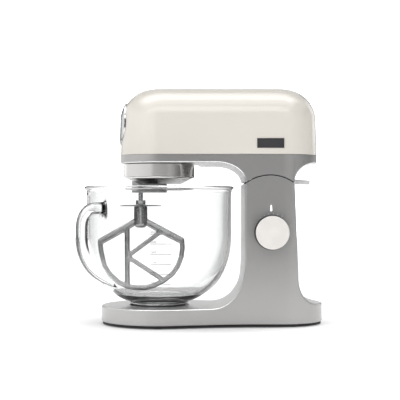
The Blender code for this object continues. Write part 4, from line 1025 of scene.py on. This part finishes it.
# ---- beater
def beater():
    """The cast beater, cut from one plate: its rim and struts are what is left between the four windows."""
    arm, side, upright, strut = (w * MM for w in (5.0, 3.6, 3.75, 3.3))  # half the width of each kind of bar
    hub_left, hub_right, corner_l, corner_r = mm([(-9.0, 151.0), (9.0, 151.0), (-61.0, 121.5), (61.8, 123.0)])
    left = mm([(-60.0, 108.0), (-55.0, 84.0), (-47.0, 70.5), (-34.0, 58.5), (-20.2, 52.0)])
    low = mm([(-8.0, 50.4), (6.0, 50.2), (20.0, 53.6), (35.0, 61.6)])
    right = mm([(48.0, 72.0), (56.0, 84.0), (61.0, 98.0), (62.8, 112.0)])
    joint, upper_end, arm_at_upright = mm([(-20.2, 98.5), (32.0, 138.3), (-20.2, 144.6)])
    rim = [hub_right, hub_left, corner_l] + left + low + right + [corner_r]
    around = len(left) + len(low) + len(right)
    shapes = (  # the outer edge and the windows: centre lines of bars, how far to go in from each, and the corners
        (rim, [-arm, -arm] + [-side] * around + [-side, -arm], 5.0),
        ([arm_at_upright, corner_l] + left, [arm] + [side] * len(left) + [upright], 2.5),
        ([arm_at_upright, joint, upper_end, hub_right, hub_left], [upright, strut, arm, arm, arm], 2.0),
        ([joint, low[-1]] + right + [corner_r, upper_end], [strut] + [side] * len(right) + [side, arm, strut], 2.5),
        ([joint, left[-1]] + low, [upright] + [side] * len(low) + [strut], 2.0),
    )
    outlines = [softened(inset(points, by), corner * MM, 5, ring=True) for points, by, corner in shapes]
    outlines = [[(x + TOOL_X, z) for x, z in outline] for outline in outlines]
    blade = extruded("beater_blade", outlines, -4 * MM, 4 * MM, upright=True, bevel=2.3 * MM, sharp=50)
    half, top = span("beater_frame", 1) / 2, 174.5 * MM
    sleeve = [(0, top), (9.2 * MM, top), (10.0 * MM, top - 0.8 * MM), (half, 149 * MM)]
    sleeve += arc((half - 7 * MM, 149.5 * MM), 7 * MM, 0, -pi / 2, 8) + [(0, 142.5 * MM)]
    sleeve = turned("sleeve", sleeve, (TOOL_X, 0), 64)
    sleeve = cut(sleeve, rod((TOOL_X, 0, 152 * MM), (TOOL_X, 0, 180 * MM), TOOL_BORE_R))
    settle(blade, ALUMINIUM, "tool", "aluminium", "beater_frame")
    settle(sleeve, ALUMINIUM, "tool", "aluminium")


def beater_fittings():
    low_z, high_z = heights("drip_disc")
    r = span("drip_disc", 0) / 2
    disc = [(TOOL_BORE_R, high_z), (r - 7 * MM, high_z), (r - 1 * MM, high_z - 0.9 * MM), (r, high_z - 1.4 * MM)]
    disc += [(r - 0.2 * MM, low_z), (r - 1.4 * MM, low_z + 0.1 * MM)]
    disc += [(r - 7 * MM, low_z + 0.6 * MM), (TOOL_BORE_R, low_z + 0.6 * MM)]
    settle(turned("splash_disc", disc, (TOOL_X, 0), 96, ring=True), DARK_STEEL, "tool", "steel", "drip_disc")
    low_z, high_z = heights("height_nut")
    hexagon, hole = (arc((TOOL_X, 0), r, 0, 2 * pi, count)[:-1] for r, count in ((7.2 * MM, 6), (TOOL_BORE_R, 32)))
    nut = extruded("hex_nut", [hexagon, hole], low_z, high_z, bevel=0.35 * MM)
    settle(nut, STEEL, "tool", "steel", "height_nut")
    low_z, high_z = heights("beater_shaft")
    r, pitch, z = 3.35 * MM, 1.25 * MM, 184.5 * MM
    shaft = [(0, high_z), (2.6 * MM, high_z), (r, high_z - 0.8 * MM)]
    while z > 178.5 * MM:  # the thread shows below the nut's top
        shaft += [(r, z), (2.9 * MM, z - pitch / 2)]
        z -= pitch
    shaft += [(r, z), (r, low_z), (0, low_z)]
    settle(turned("shaft", shaft, (TOOL_X, 0), 48), STEEL, "tool", "steel", "beater_shaft")


# ---- carried-over parts
def dress_the_rest():
    """Every CAD node that stays takes the material of its record slot."""
    finishes = {"cream_enamel": CREAM, "silver_paint": SILVER, "chrome": CHROME, "steel": STEEL, "glass": GLASS}
    finishes |= {"aluminium": ALUMINIUM, "rubber": RUBBER, "black_plastic": BLACK, "bronze": BRONZE, "copper": COPPER}
    finishes |= {"circuit_board": BOARD, "pearl_white": PEARL, "lens_white": LENS}
    slots = {entry["node"]: entry["material_slot"] for entry in frame["record"]["subparts"]}
    for name, obj in frame["nodes"].items():
        obj.data.materials.clear()
        obj.data.materials.append(finishes[slots[name]])


# ---- studio
def stage_box(name, low, high, colour, strength):
    obj = box(name, low, high)
    m = Nodes(name)
    m.set(Base_Color=m.shades(m.noise(2, 2), colour, 0.99), Roughness=0.9, Specular_IOR_Level=0.0)
    m.set(Emission_Strength=strength, Emission_Color=(*colour, 1))
    obj.data.materials.append(m.material)
    show(obj)
    return obj


def half_seen(card, glossy, through, diffuse):
    """Keeps a card from the camera and from shadows, and lets only some of the other rays see it."""
    card.visible_camera = card.visible_shadow = False
    card.visible_glossy, card.visible_transmission, card.visible_diffuse = glossy, through, diffuse


def flag(name, low, high, grey, glossy=True, through=True):
    """A flat card that only reflections, or light through the glass, can see."""
    card = stage_box(name, low, high, (0.0, 0.0, 0.0), 1.0)
    shader = card.data.materials[0].node_tree.nodes["Principled BSDF"]
    shader.inputs["Emission Color"].default_value = (grey, grey, grey, 1)
    half_seen(card, glossy, through, False)


def softbox(name, location, target, size, radiance, glossy=True):
    """A rectangular area light that looks as bright as radiance from in front."""
    data = bpy.data.lights.new(name, "AREA")
    data.shape = "RECTANGLE"
    data.size, data.size_y = size
    data.energy = radiance * pi * size[0] * size[1]
    light = show(bpy.data.objects.new(name, data))
    light.location = location
    light.rotation_euler = (Vector(target) - Vector(location)).to_track_quat("-Z", "Y").to_euler()
    light.visible_camera, light.visible_glossy = False, glossy


def surround(name, stops, low, high, radius, glossy=True, through=True, diffuse=False, table_from=0.0, apex=0.0):
    """A curved card round the object, its level running through (bearing, level) stops.

    Bearings are degrees clockwise of straight behind, seen from a point apex before the bowl's axis. With table_from,
    the card also covers the table from there out.
    """
    strength = 1.3  # the brightest level a stop can ask for
    start, end = stops[0][0], stops[-1][0]
    steps = max(2, int(abs(end - start) / 3))
    corners = [(table_from, low)] if table_from else []
    corners += [(radius, low), (radius, high)]
    bm = bmesh.new()
    rows = []
    for i in range(steps + 1):
        bearing = radians(start + (end - start) * i / steps)
        rows.append([bm.verts.new((AXIS_X + sin(bearing) * r, cos(bearing) * r, z)) for r, z in corners])
    for first, second in zip(rows, rows[1:]):
        for k in range(len(corners) - 1):
            bm.faces.new((first[k], second[k], second[k + 1], first[k + 1]))
    card = solid(name, bm)
    m = Nodes(name)
    parts, swapped = m.split(m.mapped(location=(-AXIS_X, apex, 0))), m.new("ShaderNodeCombineXYZ")
    m.link(parts["Y"], swapped.inputs["X"])
    m.link(parts["X"], swapped.inputs["Y"])
    turn = m.new("ShaderNodeTexGradient", gradient_type="RADIAL")
    m.link(swapped.outputs[0], turn.inputs[0])
    levels = m.ramp(turn.outputs["Fac"], [(bearing / 360 + 0.5, level / strength) for bearing, level in stops])
    m.set(Base_Color=(0, 0, 0, 1), Specular_IOR_Level=0.0, Emission_Color=levels, Emission_Strength=strength)
    card.data.materials.append(m.material)
    show(card)
    half_seen(card, glossy, through, diffuse)


def lift_table(floor):
    """Paints light on the table: little next to the object and more away from it, so that it meets the white behind
    without a horizon.
    """
    tree = floor.data.materials[0].node_tree
    kinds = ("TexCoord", "VectorMath", "VectorMath", "MapRange")
    coords, squeeze, length, ramp = (tree.nodes.new("ShaderNode" + kind) for kind in kinds)
    squeeze.operation, length.operation = "MULTIPLY", "LENGTH"
    squeeze.inputs[1].default_value = (1.5, 2, 1)
    ramp.inputs["From Min"].default_value, ramp.inputs["From Max"].default_value = 0.18, 0.38
    ramp.inputs["To Min"].default_value, ramp.inputs["To Max"].default_value = 0.12, 0.70
    tree.links.new(coords.outputs["Object"], squeeze.inputs[0])
    tree.links.new(squeeze.outputs["Vector"], length.inputs[0])
    tree.links.new(length.outputs["Value"], ramp.inputs["Value"])
    tree.links.new(ramp.outputs["Result"], tree.nodes["Principled BSDF"].inputs["Emission Strength"])


def sky():
    """White where the camera looks past everything, and a soft grey for all other light."""
    world = bpy.data.worlds.new("studio")
    bpy.context.scene.world = world
    world.use_nodes = True
    nodes, links = world.node_tree.nodes, world.node_tree.links
    background = nodes["Background"]
    background.inputs["Strength"].default_value = 1.0
    mix = nodes.new("ShaderNodeMix")
    mix.data_type = "RGBA"
    links.new(nodes.new("ShaderNodeLightPath").outputs["Is Camera Ray"], mix.inputs[0])
    mix.inputs[6].default_value = (0.55, 0.55, 0.55, 1)
    mix.inputs[7].default_value = (1, 1, 1, 1)
    links.new(mix.outputs[2], background.inputs["Color"])


def studio():
    lift_table(stage_box("floor", (-6, -6, -0.05), (6, 6, 0.0), (0.86, 0.86, 0.86), 0.25))
    seen = stage_box("backdrop", (-6, 4.0, -0.05), (6, 4.05, 5.0), (1.0, 1.0, 1.0), 1.05)
    seen.visible_glossy = seen.visible_transmission = seen.visible_diffuse = False
    sky()
    softbox("overhead", (0.0, -0.05, 1.5), (0, 0, 0.3), (2.0, 0.6), 1.2)
    softbox("left", (-1.5, -1.1, 0.9), (0, 0, 0.2), (0.9, 1.1), 2.4, glossy=False)
    softbox("right", (1.6, -1.2, 0.9), (0, 0, 0.2), (0.7, 1.1), 1.0, glossy=False)
    softbox("low_front", (0, -0.75, 0.9), (0, -0.2, 0.0), (1.6, 0.3), 1.75)
    flag("front_card", (-1.6, -2.3, 0.0), (1.6, -2.25, 1.5), 0.10, through=False)
    band = [(-180, 0.60), (-166, 0.64), (-145, 0.72), (-123, 0.80), (-89, 0.88), (-54, 0.92), (-40, 1.25), (-28, 1.25)]
    band += [(-25, 0.03), (-20, 0.03), (-19, 1.05), (19, 1.05), (21, 0.02), (80, 0.02), (92, 0.07), (107, 0.13)]
    band += [(123, 0.25), (138, 0.42), (152, 0.50), (166, 0.55), (180, 0.60)]
    surround("drum_band", band, 0.22, 0.38, 2.25, through=False)
    flag("table_card", (-2.5, -2.3, 0.004), (2.5, -0.75, 0.006), 0.10)
    flag("top_card", (-1.0, -0.35, 1.6), (1.0, 0.1, 1.62), 3.2, through=False)
    flag("sky_card", (-1.4, -0.9, 1.64), (1.4, 0.5, 1.66), 2.0, through=False)
    flag("ceiling_through", (-4.0, -1.0, 1.7), (4.0, 4.5, 1.72), 0.13, glossy=False)
    through = [(-180, 1.1), (-162, 1.1), (-155, 0.06), (-32, 0.05), (-28, 0.40), (-25, 0.8), (-22, 1.28), (6.5, 1.28)]
    through += [(9, 0.55), (13, 0.40), (18, 0.05), (70, 0.05), (155, 0.06), (162, 1.1), (180, 1.1)]
    surround("seen_through", through, 2 * MM, 1.6, 3.6, glossy=False, table_from=0.3, apex=0.6)
    mirrored = [(-175, 1.0), (-70, 0.9), (-64, 1.0), (-36, 1.0), (-33, 0.03), (-20, 0.03), (-19, 1.05), (19, 1.05)]
    mirrored += [(20, 0.03), (33, 0.03), (35, 1.3), (56, 1.3), (58, 0.05), (96, 0.05), (110, 0.2), (150, 0.55)]
    surround("mirrored", mirrored, 0.0, 1.5, 2.4, through=False)
    surround("behind", [(-19, 1.05), (19, 1.05)], 0.0, 1.6, 4.0, glossy=False, through=False, diffuse=True)


def camera():
    data = bpy.data.cameras.new("camera")
    data.lens = 96
    data.sensor_width = 36
    data.shift_y = 0.0075
    made = show(bpy.data.objects.new("camera", data))
    made.location = (AXIS_X + 61 * MM, -1.6, 0.18)
    made.rotation_euler = (pi / 2, 0, 0)
    bpy.context.scene.camera = made
    bpy.context.scene.view_settings.view_transform = "Standard"


dress_the_rest()
for make in (stand, underside, seat, dial, head_casting, head_shell, outlet, badge, lever, hub):
    make()
for make in (glass_bowl, measure_marks, collar, beater, beater_fittings, studio, camera):
    make()
